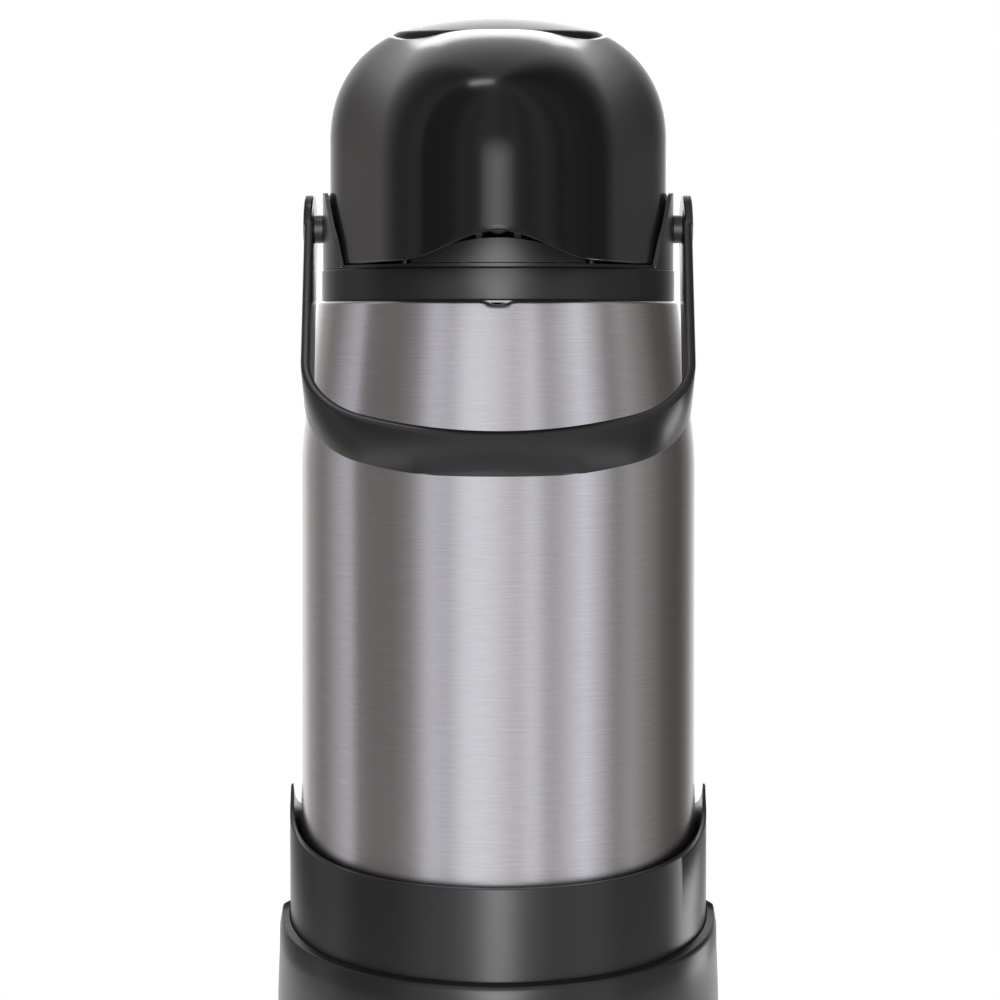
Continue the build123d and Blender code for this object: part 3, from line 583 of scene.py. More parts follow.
@dataclass
class Base:
    """Base of two plastic rings, with the plug, screws, stand ring and cushion."""

    foot_radius: float = 83.8
    flare_radius: float = 84.5
    foot_bore: float = 80.0
    collar_radius: float = 79.7
    collar_bore: float = 77.3
    rim_opening: float = 1.4
    ledge: float = 62.0
    foot_edge: Scallop = field(default_factory=lambda: Scallop(38.4, 44.7, 80.0))
    collar_edge: Scallop = field(default_factory=lambda: Scallop(71.0, 90.0, 77.3))
    steps: int = 256

    def foot(self) -> None:
        """Build the lower ring with its floor and plug tube."""
        mesh = bmesh.new()
        top = self.foot_edge.peak
        outline = [
            (44.0, 6.0), (74.0, 6.0), (75.0, 4.0),
            (81.0, 4.0), (81.0, 1.5), (83.0, 1.5),
            (self.flare_radius, 3.0), (self.flare_radius, 12.0), (self.foot_radius, 30.0),
            (self.foot_radius - 0.1, top - 6.5), (self.foot_radius - 0.9, top - 1.6),
            (self.foot_bore + 0.1, top), (self.foot_bore, top - 1.0), (self.foot_bore, 9.0), (47.5, 9.0),
            (47.5, 18.0), (44.0, 18.0),
        ]
        spin_outline(mesh, outline, self.steps)
        round_rings(mesh, [(self.flare_radius, 12.0, 4.0), (self.foot_radius - 0.9, top - 1.6, 0.7)])
        self.foot_edge.shape(mesh, top - 9.0)
        finish_piece(mesh, "foot", BASE_SATIN, Body.POT, Slot.BASE, ["base_foot"])

    def collar(self) -> None:
        """Build the upper ring with its rounded, scalloped rim."""
        mesh = bmesh.new()
        top = self.collar_edge.peak
        outline = [
            (66.0, 36.0), (self.collar_bore, 36.0), (self.collar_bore, 9.0),
            (self.collar_radius, 9.0), (self.collar_radius, 50.0), (self.collar_radius, top),
            (self.collar_bore, top), (self.collar_bore, self.ledge), (75.55, self.ledge),
            (75.55, 40.0), (66.0, 40.0),
        ]
        spin_outline(mesh, outline, self.steps)
        round_rings(mesh, [(self.collar_radius, top, 1.0), (self.collar_bore, top, 0.7)], 4)
        self.collar_edge.shape(mesh, self.ledge + 6.0)
        low, rise = self.collar_edge.low, self.collar_edge.peak - self.collar_edge.low
        for vert in mesh.verts:
            out = math.hypot(vert.co.x, vert.co.y) / MM
            share = max(0.0, (vert.co.z / MM - low) / rise)
            if out < self.collar_bore + 0.8:
                vert.co.xy *= 1 + share * self.rim_opening / out
        finish_piece(mesh, "collar", BASE_SATIN, Body.POT, Slot.BASE, ["base_collar"])

    def build(self) -> None:
        """Build both rings and dress the small parts."""
        self.foot()
        self.collar()
        dress_nodes(RUBBER, "foot_ring", "refill_cushion")
        dress_nodes(BASE_SATIN, "base_plug")
        dress_nodes(SCREW_STEEL, "base_screws")


@dataclass
class Jacket:
    """Brushed steel jacket with a tapering shoulder and a small half-moon in front."""

    radius: float = 75.4
    top_radius: float = 68.7
    flange_radius: float = 63.0
    thickness: float = 0.6
    bottom: float = 40.0
    bend: float = 219.0
    bend_radius: float = 130.0
    roll_radius: float = 1.6
    top: float = 275.0
    dimple_radius: float = 10.3
    dimple_drop: float = 2.3
    dimple_floor: float = 67.7
    steps: int = 360

    def wall(self, inset: float) -> list[Vector]:
        """Outline of the wall from the bottom up to the rolled edge.

        Args:
            inset: distance in mm that the outline moves in.

        Returns:
            (radius, height) points in mm.
        """
        corners = [
            (self.radius - inset, self.bottom),
            (self.radius - inset, self.bend),
            (self.top_radius - inset, self.top - inset),
            (self.flange_radius, self.top - inset),
        ]
        return rounded_outline(corners, [0, self.bend_radius, self.roll_radius - inset, 0], 12)

    def rows(self, points: Sequence[Vector]) -> list[Corner]:
        """Add rows on the long straight runs of an outline, closest together at the upper end.

        Args:
            points: the outline's points.

        Returns:
            (radius, height) points in mm.
        """
        shares = (0.0, 0.3, 0.6, 0.8, 0.9, 0.94, 0.96, 0.98)
        rows = []
        for near, far in zip(points, points[1:]):
            steps = shares if (far - near).length > 20.0 else (0.0,)
            rows += [tuple(near.lerp(far, share)) for share in steps]
        return rows + [tuple(points[-1])]

    def press_dimple(self, mesh: bmesh.types.BMesh) -> None:
        """Press the half-moon flat into the shoulder's edge in front.

        Args:
            mesh: the jacket's mesh.
        """
        center = self.top - self.dimple_drop + self.dimple_radius
        for vert in mesh.verts:
            x, y, z = vert.co / MM
            inside = self.dimple_radius - math.hypot(x, z - center)
            if y < -self.dimple_floor + 2.0 and inside > 0:
                depth = min(1.0, inside / 0.6)
                floor = -self.dimple_floor + (0.0 if y < -self.dimple_floor else y + self.dimple_floor)
                vert.co.y = (y + (floor - y) * depth) * MM

    def build(self) -> None:
        """Build the jacket."""
        mesh = bmesh.new()
        outline = self.rows(self.wall(0.0)) + list(reversed(self.rows(self.wall(self.thickness))))
        spin_outline(mesh, outline, self.steps)
        self.press_dimple(mesh)
        finish_piece(mesh, "jacket", JACKET_STEEL, Body.POT, Slot.JACKET, ["steel_jacket"], 60.0)


@dataclass
class Neck:
    """Collar ring on the jacket, with the neck housing, glass refill, siphon and hinge pin."""

    ring_radius: float = 66.8
    ring_bore: float = 62.0
    bottom: float = 275.0
    top: float = 286.8

    def collar_ring(self) -> None:
        """Build the ring that sits on the jacket."""
        mesh = bmesh.new()
        outline = [
            (self.ring_bore, self.bottom),
            (self.ring_radius, self.bottom),
            (self.ring_radius, self.top),
            (self.ring_bore, self.top),
        ]
        spin_outline(mesh, outline, 256)
        round_rings(mesh, [(self.ring_radius, self.bottom, 0.6), (self.ring_radius, self.top, 0.8)], 4)
        finish_piece(mesh, "neck_ring", RING_SATIN, Body.POT, Slot.RING, ["collar_ring"])

    def build(self) -> None:
        """Build the ring and dress the parts round the mouth and inside the pot."""
        self.collar_ring()
        dress_nodes(NECK_SATIN, "neck_housing")
        dress_nodes(SCREW_STEEL, "hinge_pin", "check_ball")
        dress_nodes(SILVERED_GLASS, "glass_refill")
        dress_nodes(RUBBER, "tip_guard")
        dress_nodes(SILICONE, "mouth_gasket", "siphon_seal")
        dress_nodes(INNER_PLASTIC, "tube_head", "siphon_tube")


# ---------------------------------------------------------------- lid and pump


@dataclass
class Lid:
    """Helmet-shaped lid with a beak over the spout and a well for the button.

    Attributes:
        bow: exponent of the dome's section, 2 for an ellipse and more for fuller shoulders.
        easing: degrees over which bends of the outline are eased.
        shoulder: height of the dome's foot, and how it varies once and twice round from the front.
        rise: height of the dome above its foot, and how it varies in the same way.
        crowding: how far the dome's points crowd towards its foot, 1 for even steps.
    """

    radius: float = 63.9
    nose_radius: float = 38.0
    beak_reach: float = 105.2
    wall: float = 2.6
    bottom: float = 288.3
    well_radius: float = 39.9
    well_wall: float = 2.5
    well_bottom: float = 346.0
    bow: float = 2.3
    arch_rise: float = 9.4
    arch_half: float = 34.0
    easing: int = 8
    shoulder: tuple[float, float, float] = (332.0, -11.0, -3.0)
    rise: tuple[float, float, float] = (52.08, 3.65, 1.77)
    crowding: float = 1.15
    columns: int = 288
    dome_steps: int = 40

    def hull(self, turn: float, inset: float) -> float:
        """Distance from the middle to the band round the body's circle and the nose's circle.

        Args:
            turn: angle from the front in radians.
            inset: distance that the outline moves in.

        Returns:
            The distance in mm.
        """
        big, small, far = self.radius - inset, self.nose_radius - inset, self.beak_reach - self.nose_radius
        tangent = math.acos((big - small) / far)
        away = abs(math.remainder(turn, math.tau))
        if away >= tangent:
            return big
        nose_end = math.atan2(small * math.sin(tangent), far + small * math.cos(tangent))
        if away <= nose_end:
            return far * math.cos(away) + math.sqrt(small**2 - (far * math.sin(away)) ** 2)
        return big / math.cos(away - tangent)

    def plan(self, turn: float, inset: float) -> float:
        """The hull with its bends eased, by the mean over a small angle."""
        spots = [self.hull(turn + math.radians(step), inset) for step in range(-self.easing, self.easing + 1)]
        return sum(spots) / len(spots)

    def foot_height(self, x: float, y: float) -> float:
        """Height of the lower edge, which arches up under the beak."""
        if y > 0 or abs(x) > self.arch_half:
            return self.bottom
        return self.bottom + self.arch_rise * (1 + math.cos(math.pi * x / self.arch_half)) / 2

    def skin(self, turn: float, inset: float, end_radius: float) -> list[Corner]:
        """Section of the dome from its straight wall up to the well.

        Args:
            turn: angle from the front in radians.
            inset: distance that the section moves in.
            end_radius: radius where the section stops.

        Returns:
            (radius, height) points from the top of the straight wall to the end.
        """
        reach = self.plan(turn, inset)
        once, twice = math.cos(turn), math.cos(2 * turn)
        shoulder = self.shoulder[0] + self.shoulder[1] * once + self.shoulder[2] * twice
        rise = self.rise[0] + self.rise[1] * once + self.rise[2] * twice - inset
        last = math.acos((end_radius / reach) ** (self.bow / 2))
        points = []
        for step in range(self.dome_steps + 1):
            angle = last * (step / self.dome_steps) ** self.crowding
            across = reach * math.cos(angle) ** (2 / self.bow)
            up = shoulder + rise * math.sin(angle) ** (2 / self.bow)
            points.append((across, up))
        return points

    def section(self, turn: float) -> list[Vector]:
        """Closed section through the wall at one angle.

        Args:
            turn: angle from the front in radians.

        Returns:
            (radius, height) points in mm, the same number at every angle.
        """
        outer = self.skin(turn, 0.0, self.well_radius + 1.0)
        inner = self.skin(turn, self.wall, self.well_radius + self.well_wall)
        reach, hollow = outer[0][0], inner[0][0]
        foot = self.foot_height(reach * math.sin(turn), -reach * math.cos(turn))
        wall_rows = [(reach, foot + (outer[0][1] - foot) * step / 10) for step in range(1, 10)]
        hollow_rows = [(hollow, inner[0][1] + (foot - inner[0][1]) * step / 10) for step in range(1, 10)]
        rim = outer[-1][1]
        rim_in = (self.well_radius, rim - 1.0)
        lip = [(hollow + 0.6, foot), (reach - 0.6, foot), (reach - 0.18, foot + 0.18), (reach, foot + 0.6)]
        rim_round = [(self.well_radius + 0.45, rim - 0.05), (self.well_radius + 0.12, rim - 0.35), rim_in]
        well = [(self.well_radius, self.well_bottom), (self.well_radius + self.well_wall, self.well_bottom)]
        points = lip + wall_rows + outer + rim_round + well + list(reversed(inner)) + hollow_rows
        return [Vector(point) for point in points]

    def shell(self) -> None:
        """Build the shell."""
        mesh = bmesh.new()
        sections = [self.section(math.tau * column / self.columns) for column in range(self.columns)]
        count = len(sections[0])

        def place(around: float, along: float) -> Vector:
            """Point of the shell for a share round the lid and a share along the section."""
            column = round(around * self.columns) % self.columns
            turn = math.tau * column / self.columns
            out, up = sections[column][round(along * count) % count]
            return Vector((out * math.sin(turn), -out * math.cos(turn), up))

        wrap_grid(mesh, self.columns, count, place)
        self.hinge_barrel(mesh)
        finish_piece(mesh, "lid_helmet", LID_GLOSS, Body.LID, Slot.LID, ["lid_shell"], 50.0)

    def hinge_barrel(self, mesh: bmesh.types.BMesh) -> None:
        """Add the barrel round the hinge pin, with the web that joins it to the wall.

        Args:
            mesh: the lid's mesh.
        """
        hinge_y, hinge_z, outer, bore, half = 69.5, 291.5, 3.4, 1.8, 11.5
        turns = 40
        ring = [math.tau * step / turns for step in range(turns)]
        loops = []
        for radius, x in ((bore, -half), (outer, -half), (outer, half), (bore, half)):
            spots = [(x, hinge_y + radius * math.cos(a), hinge_z + radius * math.sin(a)) for a in ring]
            verts = [mesh.verts.new(Vector(spot) * MM) for spot in spots]
            loops.append([mesh.edges.new((vert, verts[at - 1])) for at, vert in enumerate(verts)])
        for at, loop in enumerate(loops):
            bmesh.ops.bridge_loops(mesh, edges=loops[at - 1] + loop)
        web = bmesh.ops.create_cube(mesh, size=1.0)["verts"]
        low = Vector((-half, self.radius - self.wall + 0.4, hinge_z - 1.5))
        high = Vector((half, hinge_y - 2.2, hinge_z + outer))
        for vert in web:
            share = vert.co + Vector((0.5, 0.5, 0.5))
            vert.co = Vector(low[i] + (high[i] - low[i]) * share[i] for i in range(3)) * MM
        bmesh.ops.recalc_face_normals(mesh, faces=mesh.faces)

    def build(self) -> None:
        """Build the shell and dress what it carries."""
        self.shell()
        dress_nodes(INNER_PLASTIC, "lid_plate", "delivery_pipe", "spout_nozzle")
        dress_nodes(SCREW_STEEL, "lid_screws")
        dress_nodes(RUBBER, "air_flap")
        dress_nodes(SILICONE, "mouth_seal")


@dataclass
class Pump:
    """Button, bellows and return spring."""

    button_radius: float = 39.3
    button_wall: float = 2.5
    crown: float = 5.4
    crown_base: float = 376.8
    slope: float = 0.12
    skirt: float = 366.0
    stem_radius: float = 8.0
    stem_bottom: float = 365.0
    bellows_radius: float = 33.0
    bellows_root: float = 27.0
    bellows_wall: float = 1.2
    bellows_flange: float = 36.0
    bellows_bottom: float = 312.53
    bellows_top: float = 361.97
    folds: int = 7
    spring_radius: float = 19.0
    wire_radius: float = 0.9
    spring_turns: int = 7
    joint: str = "button_press"
    stroke: float = 20.0

    def crown_height(self, radius: float) -> float:
        """Height of the crown above its base at a distance from the middle."""
        return self.crown * (1 - (radius / self.button_radius) ** 2)

    def button(self) -> None:
        """Build the button as a hollow cap with a stem, its top tilted with the lid's."""
        mesh = bmesh.new()
        top = self.crown_base
        rows = [self.button_radius * (1 - step / 16) for step in range(1, 16)]
        inner = self.button_radius - self.button_wall
        outline = [(inner, self.skirt), (self.button_radius, self.skirt), (self.button_radius, top)]
        outline += [(radius, top + self.crown_height(radius)) for radius in rows]
        outline += [(0.0, top + self.crown), (0.0, self.stem_bottom)]
        outline += [(self.stem_radius, self.stem_bottom), (self.stem_radius, top + 1.0), (inner, top - 1.5)]
        spin_outline(mesh, outline, 192)
        bmesh.ops.dissolve_degenerate(mesh, edges=mesh.edges, dist=1e-7)
        round_rings(mesh, [(self.button_radius, top, 1.6)], 5)
        for vert in mesh.verts:
            lift = min(1.0, max(0.0, (vert.co.z / MM - self.skirt) / (top - 1.5 - self.skirt)))
            vert.co.z += self.slope * vert.co.y * lift
        finish_piece(mesh, "button", BUTTON_GLOSS, Body.BUTTON, Slot.BUTTON, ["push_button"])

    def bellows(self) -> None:
        """Build the bellows."""
        mesh = bmesh.new()
        low, high = self.bellows_bottom + self.bellows_wall, self.bellows_top - self.bellows_wall
        fold = (high - low) / (2 * self.folds)
        outer = []
        for step in range(2 * self.folds + 1):
            outer.append((self.bellows_radius if step % 2 else self.bellows_root, low + fold * step))
        inner = [(radius - self.bellows_wall, height) for radius, height in reversed(outer)]
        outline = [(self.bellows_flange, self.bellows_bottom), (self.bellows_flange, low)]
        outline += outer + [(self.bellows_root, self.bellows_top), (0.0, self.bellows_top), (0.0, high)]
        outline += inner + [(self.bellows_root - self.bellows_wall, self.bellows_bottom)]
        spin_outline(mesh, outline, 128)
        bmesh.ops.dissolve_degenerate(mesh, edges=mesh.edges, dist=1e-7)
        crests = [(self.bellows_radius, height, 0.5) for radius, height in outer if radius > 30]
        round_rings(mesh, crests, 3)
        piece = finish_piece(mesh, "bellows", RUBBER, Body.LID, Slot.RUBBER, ["bellows"])
        self.flatten(piece)

    def spring(self) -> None:
        """Build the return spring as a closed wire coil."""
        mesh = bmesh.new()
        low = self.bellows_bottom + self.bellows_wall + self.wire_radius + 0.1
        high = self.bellows_top - self.bellows_wall - self.wire_radius - 0.1
        sides, steps = 10, 64 * self.spring_turns
        rings = []
        for step in range(steps + 1):
            share = step / steps
            turn = math.tau * self.spring_turns * share
            out = Vector((math.cos(turn), math.sin(turn), 0))
            center = out * self.spring_radius + Vector((0, 0, low + (high - low) * share))
            spokes = []
            for side in range(sides):
                angle = math.tau * side / sides
                spokes.append(out * math.cos(angle) + Vector((0, 0, math.sin(angle))))
            rings.append([center + spoke * self.wire_radius for spoke in spokes])
        loft(mesh, rings)
        bmesh.ops.recalc_face_normals(mesh, faces=mesh.faces)
        piece = finish_piece(mesh, "spring", SCREW_STEEL, Body.LID, Slot.SCREW, ["return_spring"])
        self.flatten(piece)

    def flatten(self, piece: bpy.types.Object) -> None:
        """Give a soft piece its own copy of its mesh.

        Args:
            piece: the bellows or the spring.
        """
        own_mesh(piece)

    def build(self) -> None:
        """Build the button, bellows and spring."""
        self.button()
        self.bellows()
        self.spring()
        dress_nodes(INNER_PLASTIC, "bellows_plate")


# ---------------------------------------------------------------- bail and latch


@dataclass
class Bail:
    """Carrying handle: a flat strip bent into a wide U that swings on two pins.

    Attributes:
        hang: angle in front of straight down, in degrees.
        reach: distance from the pivot to the middle of the grip.
        band_above: width of the strip on the upper side of its plane.
        band_below: width on the lower side.
        facet_half: half-length of the finger facet under the grip.
        facet_height: height of the facet in the middle.
        facet_depth: depth of the facet in the middle.
    """

    pivot: float = 302.6
    hang: float = 46.5
    reach: float = 118.2
    thickness: float = 3.4
    band_above: float = 10.2
    band_below: float = 11.8
    sweep_radius: float = 145.0
    corner_radius: float = 32.0
    lean: float = 0.047
    arm_length: float = 104.0
    outer_x: float = 73.0
    inner_x: float = 69.8
    eye_radius: float = 13.0
    pin_hole: float = 3.05
    recess_radius: float = 5.2
    recess_depth: float = 1.65
    facet_half: float = 30.0
    facet_height: float = 6.0
    facet_depth: float = 2.0

    def half_path(self) -> list[Vector]:
        """Outer edge in the bail's plane from the eye to the middle of the grip.

        Returns:
            (across, away from the pivot) points in mm for the +X side.
        """
        arm = Vector((self.outer_x, 0))
        x = self.outer_x - self.lean * self.arm_length
        center = self.reach - self.sweep_radius
        top = Vector((0.0, center))
        corner = Vector((x, center + math.sqrt(self.sweep_radius**2 - x * x)))
        up = (arm - corner).normalized()
        middle = self.fillet_center(up, top)
        end = top + (middle - top).normalized() * self.sweep_radius
        first, last = arm + up * (middle - arm).dot(up) - middle, end - middle
        path = [arm.lerp(middle + first, step / 14) for step in range(14)]
        path += [middle + swing(first, last, step / 14) for step in range(15)]
        turn = math.atan2(end.x - top.x, end.y - top.y)
        for step in range(1, 25):
            angle = turn * (1 - step / 24)
            path.append(top + Vector((math.sin(angle), math.cos(angle))) * self.sweep_radius)
        return path

    def fillet_center(self, up: Vector, top: Vector) -> Vector:
        """Middle of the corner's arc, which touches the arm's edge and the sweep from inside.

        Args:
            up: direction of the arm towards the pivot.
            top: middle of the grip's sweep.

        Returns:
            The middle of the corner's arc.
        """
        inward = Vector((-up.y, up.x))
        if inward.x > 0:
            inward = -inward
        foot = Vector((self.outer_x, 0)) + inward * self.corner_radius
        away = foot - top
        along = -up
        lead = away.dot(along)
        gap = self.sweep_radius - self.corner_radius
        reach = -lead + math.sqrt(lead * lead - away.length_squared + gap**2)
        return foot + along * reach

    def to_world(self, across: float, away: float, side: float) -> Vector:
        """Point in mm from the bail's own plane.

        Args:
            across: distance along X.
            away: distance from the pivot in the plane.
            side: distance out of the plane, upwards in front.

        Returns:
            The point in mm.
        """
        hang = math.radians(self.hang)
        down = Vector((0, -math.sin(hang), -math.cos(hang)))
        out = Vector((0, -math.cos(hang), math.sin(hang)))
        return Vector((across, 0, self.pivot)) + down * away + out * side

    def section(self, across: float) -> list[Vector]:
        """Section of the strip: (distance in from the outer edge, distance out of the plane).

        Args:
            across: distance from the middle along X, which sets the finger facet.

        Returns:
            The same number of points everywhere.
        """
        high, low, thick, soft = self.band_above, self.band_below, self.thickness, 0.9
        share = max(0.0, 1 - (across / self.facet_half) ** 2)
        cut = max(soft, self.facet_depth * share)
        rise = max(soft, self.facet_height * share)
        flat = 0.28 + 0.22 * min(1.0, 4 * share)
        return [
            Vector((cut, -low)),
            Vector((cut * flat, -low + rise * flat)),
            Vector((0.0, -low + rise)),
            Vector((0.0, high - soft)),
            Vector((soft * 0.28, high - soft * 0.28)),
            Vector((soft, high)),
            Vector((thick - soft, high)),
            Vector((thick - soft * 0.28, high - soft * 0.28)),
            Vector((thick, high - soft)),
            Vector((thick, -low + soft)),
            Vector((thick - soft * 0.28, -low + soft * 0.28)),
            Vector((max(thick - soft, cut + 0.05), -low)),
        ]

    def strip(self, mesh: bmesh.types.BMesh) -> None:
        """Add the bent strip from one eye to the other.

        Args:
            mesh: the handle's mesh.
        """
        right = self.half_path()
        left = [Vector((-point.x, point.y)) for point in reversed(right[:-1])]
        path = right + left
        rings = []
        for at, point in enumerate(path):
            ahead = path[min(at + 1, len(path) - 1)] - path[max(at - 1, 0)]
            inward = Vector((ahead.y, -ahead.x)).normalized()
            if inward.dot(Vector((0, 40.0)) - point) < 0:
                inward = -inward
            ring = []
            for deep, side in self.section(point.x):
                flat = point + inward * deep
                ring.append(self.to_world(flat.x, flat.y, side))
            rings.append(ring)
        loft(mesh, rings)

    def eyes(self, mesh: bmesh.types.BMesh) -> None:
        """Add the round ends with their pin holes and recesses for the pin heads.

        Args:
            mesh: the handle's mesh.
        """
        face = self.outer_x - self.recess_depth
        outline = [
            (self.pin_hole, self.inner_x),
            (self.pin_hole, face),
            (self.recess_radius, face),
            (self.recess_radius, self.outer_x),
            (self.eye_radius - 0.8, self.outer_x),
            (self.eye_radius - 0.22, self.outer_x - 0.22),
            (self.eye_radius, self.outer_x - 0.8),
            (self.eye_radius, self.inner_x + 0.5),
            (self.eye_radius - 0.5, self.inner_x),
        ]
        center = Vector((0, 0, self.pivot)) * MM
        for sign in (-1, 1):
            points = [Vector((sign * x, 0, self.pivot + radius)) * MM for radius, x in outline]
            spin_loop(mesh, points, center, Vector((1, 0, 0)), 72)

    def build(self) -> None:
        """Build the handle and dress its pins and washers."""
        mesh = bmesh.new()
        self.strip(mesh)
        self.eyes(mesh)
        bmesh.ops.remove_doubles(mesh, verts=mesh.verts, dist=1e-7)
        bmesh.ops.recalc_face_normals(mesh, faces=mesh.faces)
        piece = finish_piece(mesh, "bail", BAIL_SATIN, Body.BAIL, Slot.BAIL, ["bail_handle"], 30.0)
        piece.visible_glossy = False
        dress_nodes(BAIL_SATIN, "bail_pins")
        dress_nodes(NECK_SATIN, "bail_washers")


@dataclass
class Latch:
    """Curved latch panel in the arch under the beak."""

    def build(self) -> None:
        """Dress the panel."""
        dress_nodes(NECK_SATIN, "latch_panel")


# ---------------------------------------------------------------- studio


@dataclass(frozen=True)
class Panel:
    """Rectangular soft light.

    Attributes:
        name: name of the light.
        place: its middle, in metres.
        target: point that it faces, in metres.
        size: width and height in metres.
        power: power in watts.
        roll: turn about the line to its target, in degrees.
        spread: full angle of its beam in degrees, small for soft edges.
    """

    name: str
    place: tuple[float, float, float]
    target: tuple[float, float, float]
    size: tuple[float, float]
    power: float
    roll: float = 0.0
    spread: float = 180.0


SOFT_BOX = Panel("soft box behind and above", (0, 1.5, 0.85), (0, 0, 0.35), (0.7, 0.9), 4.0)
GLINT = Panel("small panel overhead", (-0.2, -0.1, 1.5), (0, 0, 0.35), (0.3, 0.1), 1.2, roll=60.0)
FRONT_HIGH = Panel("high panel in front", (-0.02, -1.4, 0.66), (0, 0, 0.5), (0.8, 1.2), 1.2, spread=46.0)
FRONT_LOW = Panel("low panel in front", (0, -1.4, -0.15), (0, 0, 0.08), (0.36, 0.8), 0.7, spread=60.0)
LOW_FILL = Panel("low fill at the right", (0.72, 0.42, -0.15), (0.05, -0.07, 0.22), (0.3, 0.3), 0.9)


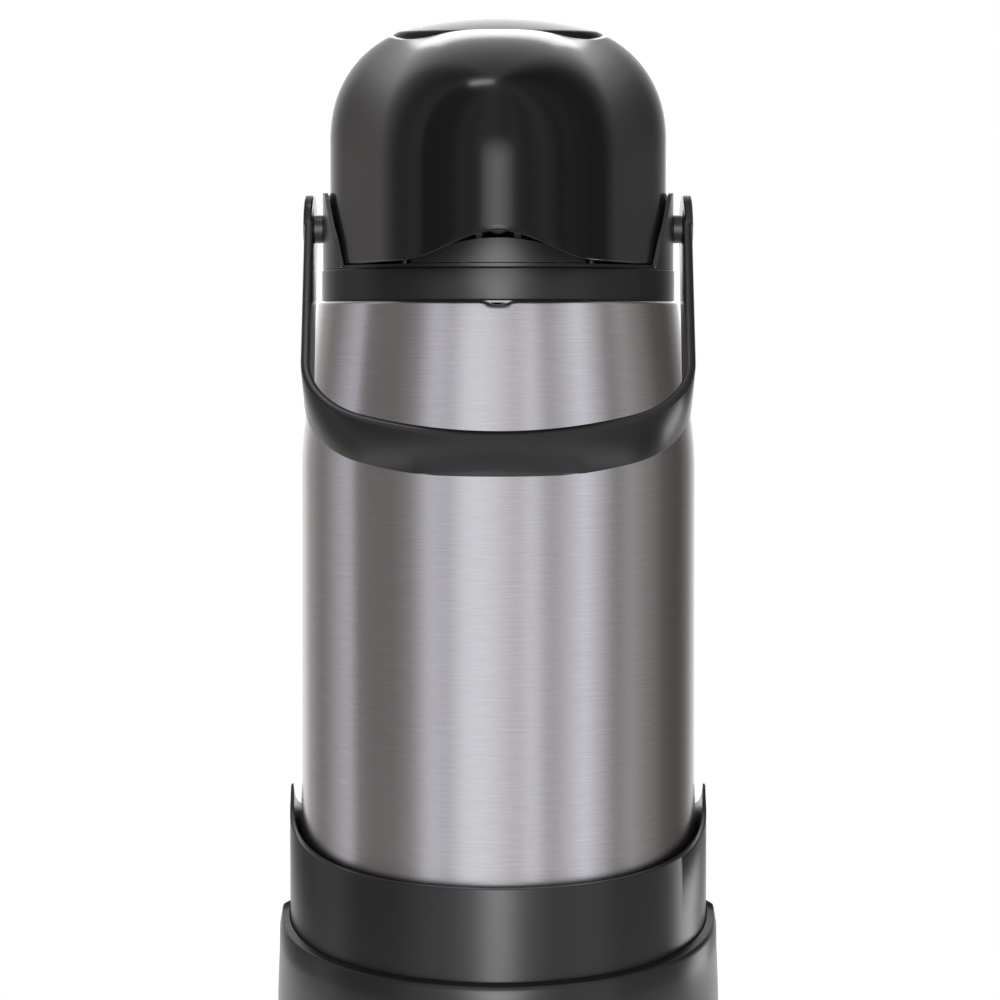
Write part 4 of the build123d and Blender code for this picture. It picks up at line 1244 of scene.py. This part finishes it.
@dataclass
class Studio:
    """Pale floor, soft panels, a bright room behind and the camera."""

    table_radius: float = 0.155
    room_light: float = 1.0
    wall_light: float = 2.2
    wall_edge: float = 0.9
    panels: Sequence[tuple[float, str]] = (
        (-166.0, "#FFFFFF"), (-152.0, "#F9F8F7"), (-138.0, "#ABA7A4"), (-122.0, "#86807E"),
        (-92.0, "#CFCDD4"), (-62.0, "#7B7573"), (-52.0, "#8E8A89"), (-38.0, "#E1E0E6"),
        (-29.0, "#C6C4C9"), (-18.0, "#FBFAFF"), (-8.0, "#FBFAFF"), (3.0, "#E7E5E9"),
        (10.0, "#D1CECF"), (19.0, "#F2F1F4"), (30.0, "#B0ACAE"), (40.0, "#D3D1D5"),
        (50.0, "#F9F8FF"), (60.0, "#CDCBCE"), (70.0, "#8B8786"), (81.0, "#AEABAA"),
        (95.0, "#8F8B89"), (112.0, "#615D5B"), (128.0, "#55514F"), (140.0, "#817E7C"),
        (150.0, "#CCCAC8"), (161.0, "#FFFFFF"),
    )
    camera_height: float = 0.26803
    camera_distance: float = 0.78175
    camera_pitch: float = 2.4
    lens: float = 73.79
    shift: tuple[float, float] = (0.0018, -0.0939)

    def floor(self) -> None:
        """Lay a pale round table top."""
        mesh = bmesh.new()
        bmesh.ops.create_circle(mesh, cap_ends=True, segments=128, radius=self.table_radius)
        data = bpy.data.meshes.new("table")
        mesh.to_mesh(data)
        mesh.free()
        data.materials.append(TABLE_WHITE.material())
        table = bpy.data.objects.new("table", data)
        bpy.context.scene.collection.objects.link(table)
        table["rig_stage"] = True

    def room(self) -> None:
        """Light the room with tall soft panels and a bright wall behind, before a plain white backdrop."""
        world = bpy.data.worlds.new("studio room")
        bpy.context.scene.world = world
        world.use_nodes = True
        tree = world.node_tree
        tree.nodes.clear()
        place = add_node(tree, "ShaderNodeTexCoord")
        around = add_node(
            tree, "ShaderNodeTexGradient", {"gradient_type": "RADIAL"}, Vector=place.outputs["Generated"]
        )
        tone = add_node(tree, "ShaderNodeValToRGB", Fac=around.outputs["Fac"])
        ramp = tone.color_ramp
        ramp.interpolation = "EASE"
        stops = sorted((((0.25 + degrees / 360) % 1.0), colour) for degrees, colour in self.panels)
        ramp.elements[0].position, ramp.elements[0].color = stops[0][0], linear(stops[0][1])
        ramp.elements[1].position, ramp.elements[1].color = stops[-1][0], linear(stops[-1][1])
        for position, colour in stops[1:-1]:
            ramp.elements.new(position).color = linear(colour)
        split = add_node(tree, "ShaderNodeSeparateXYZ", Vector=place.outputs["Generated"])
        behind = add_node(
            tree,
            "ShaderNodeMapRange",
            {"interpolation_type": "SMOOTHSTEP"},
            Value=split.outputs["Y"],
            From_Min=self.wall_edge,
            To_Min=self.room_light,
            To_Max=self.wall_light,
        )
        light = add_node(
            tree, "ShaderNodeBackground", Color=tone.outputs["Color"], Strength=behind.outputs["Result"]
        )
        backdrop = add_node(tree, "ShaderNodeBackground", Color=linear("#FFFFFF"), Strength=1.0)
        path = add_node(tree, "ShaderNodeLightPath")
        seen = add_node(tree, "ShaderNodeMixShader", Fac=path.outputs["Is Camera Ray"])
        tree.links.new(light.outputs["Background"], seen.inputs[1])
        tree.links.new(backdrop.outputs["Background"], seen.inputs[2])
        output = add_node(tree, "ShaderNodeOutputWorld", Surface=seen.outputs["Shader"])

    def panel(self, panel: Panel) -> bpy.types.Object:
        """Add one area light that faces the pot.

        Args:
            panel: the panel that it stands for.

        Returns:
            The light's object.
        """
        light = bpy.data.lights.new(panel.name, "AREA")
        light.shape = "RECTANGLE"
        light.size, light.size_y = panel.size
        light.energy = panel.power
        light.spread = math.radians(panel.spread)
        lamp = bpy.data.objects.new(panel.name, light)
        lamp.location = panel.place
        facing = (Vector(panel.target) - lamp.location).to_track_quat("-Z", "Y")
        lamp.rotation_euler = (facing @ Quaternion((0, 0, 1), math.radians(panel.roll))).to_euler()
        bpy.context.scene.collection.objects.link(lamp)
        return lamp

    def lights(self) -> None:
        """Hang a soft box above and behind, and give the dark plastics four panels of their own."""
        self.panel(SOFT_BOX)
        plastics = bpy.data.collections.new("dark plastics")
        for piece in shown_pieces():
            if piece.get("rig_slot") != Slot.JACKET.value:
                plastics.objects.link(piece)
        for panel in (FRONT_HIGH, FRONT_LOW, LOW_FILL, GLINT):
            self.panel(panel).light_linking.receiver_collection = plastics

    def camera(self) -> None:
        """Place the camera in front at the height of the shoulder, looking slightly down."""
        data = bpy.data.cameras.new("camera")
        data.lens = self.lens
        data.shift_x, data.shift_y = self.shift
        camera = bpy.data.objects.new("camera", data)
        camera.location = (0, -self.camera_distance, self.camera_height)
        camera.rotation_euler = (math.radians(90 - self.camera_pitch), 0, 0)
        bpy.context.scene.collection.objects.link(camera)
        bpy.context.scene.camera = camera

    def build(self) -> None:
        """Set up floor, light and camera."""
        bpy.context.scene.view_settings.view_transform = "Standard"
        self.floor()
        self.room()
        self.lights()
        self.camera()


def main() -> None:
    """Build every part of the scene in order."""
    logging.basicConfig(level=logging.INFO, format="%(name)s %(message)s")
    for part in (Base(), Jacket(), Neck(), Lid(), Pump(), Bail(), Latch(), Studio()):
        part.build()
        LOG.info("built %s", type(part).__name__)


if __name__ == "__main__":
    main()
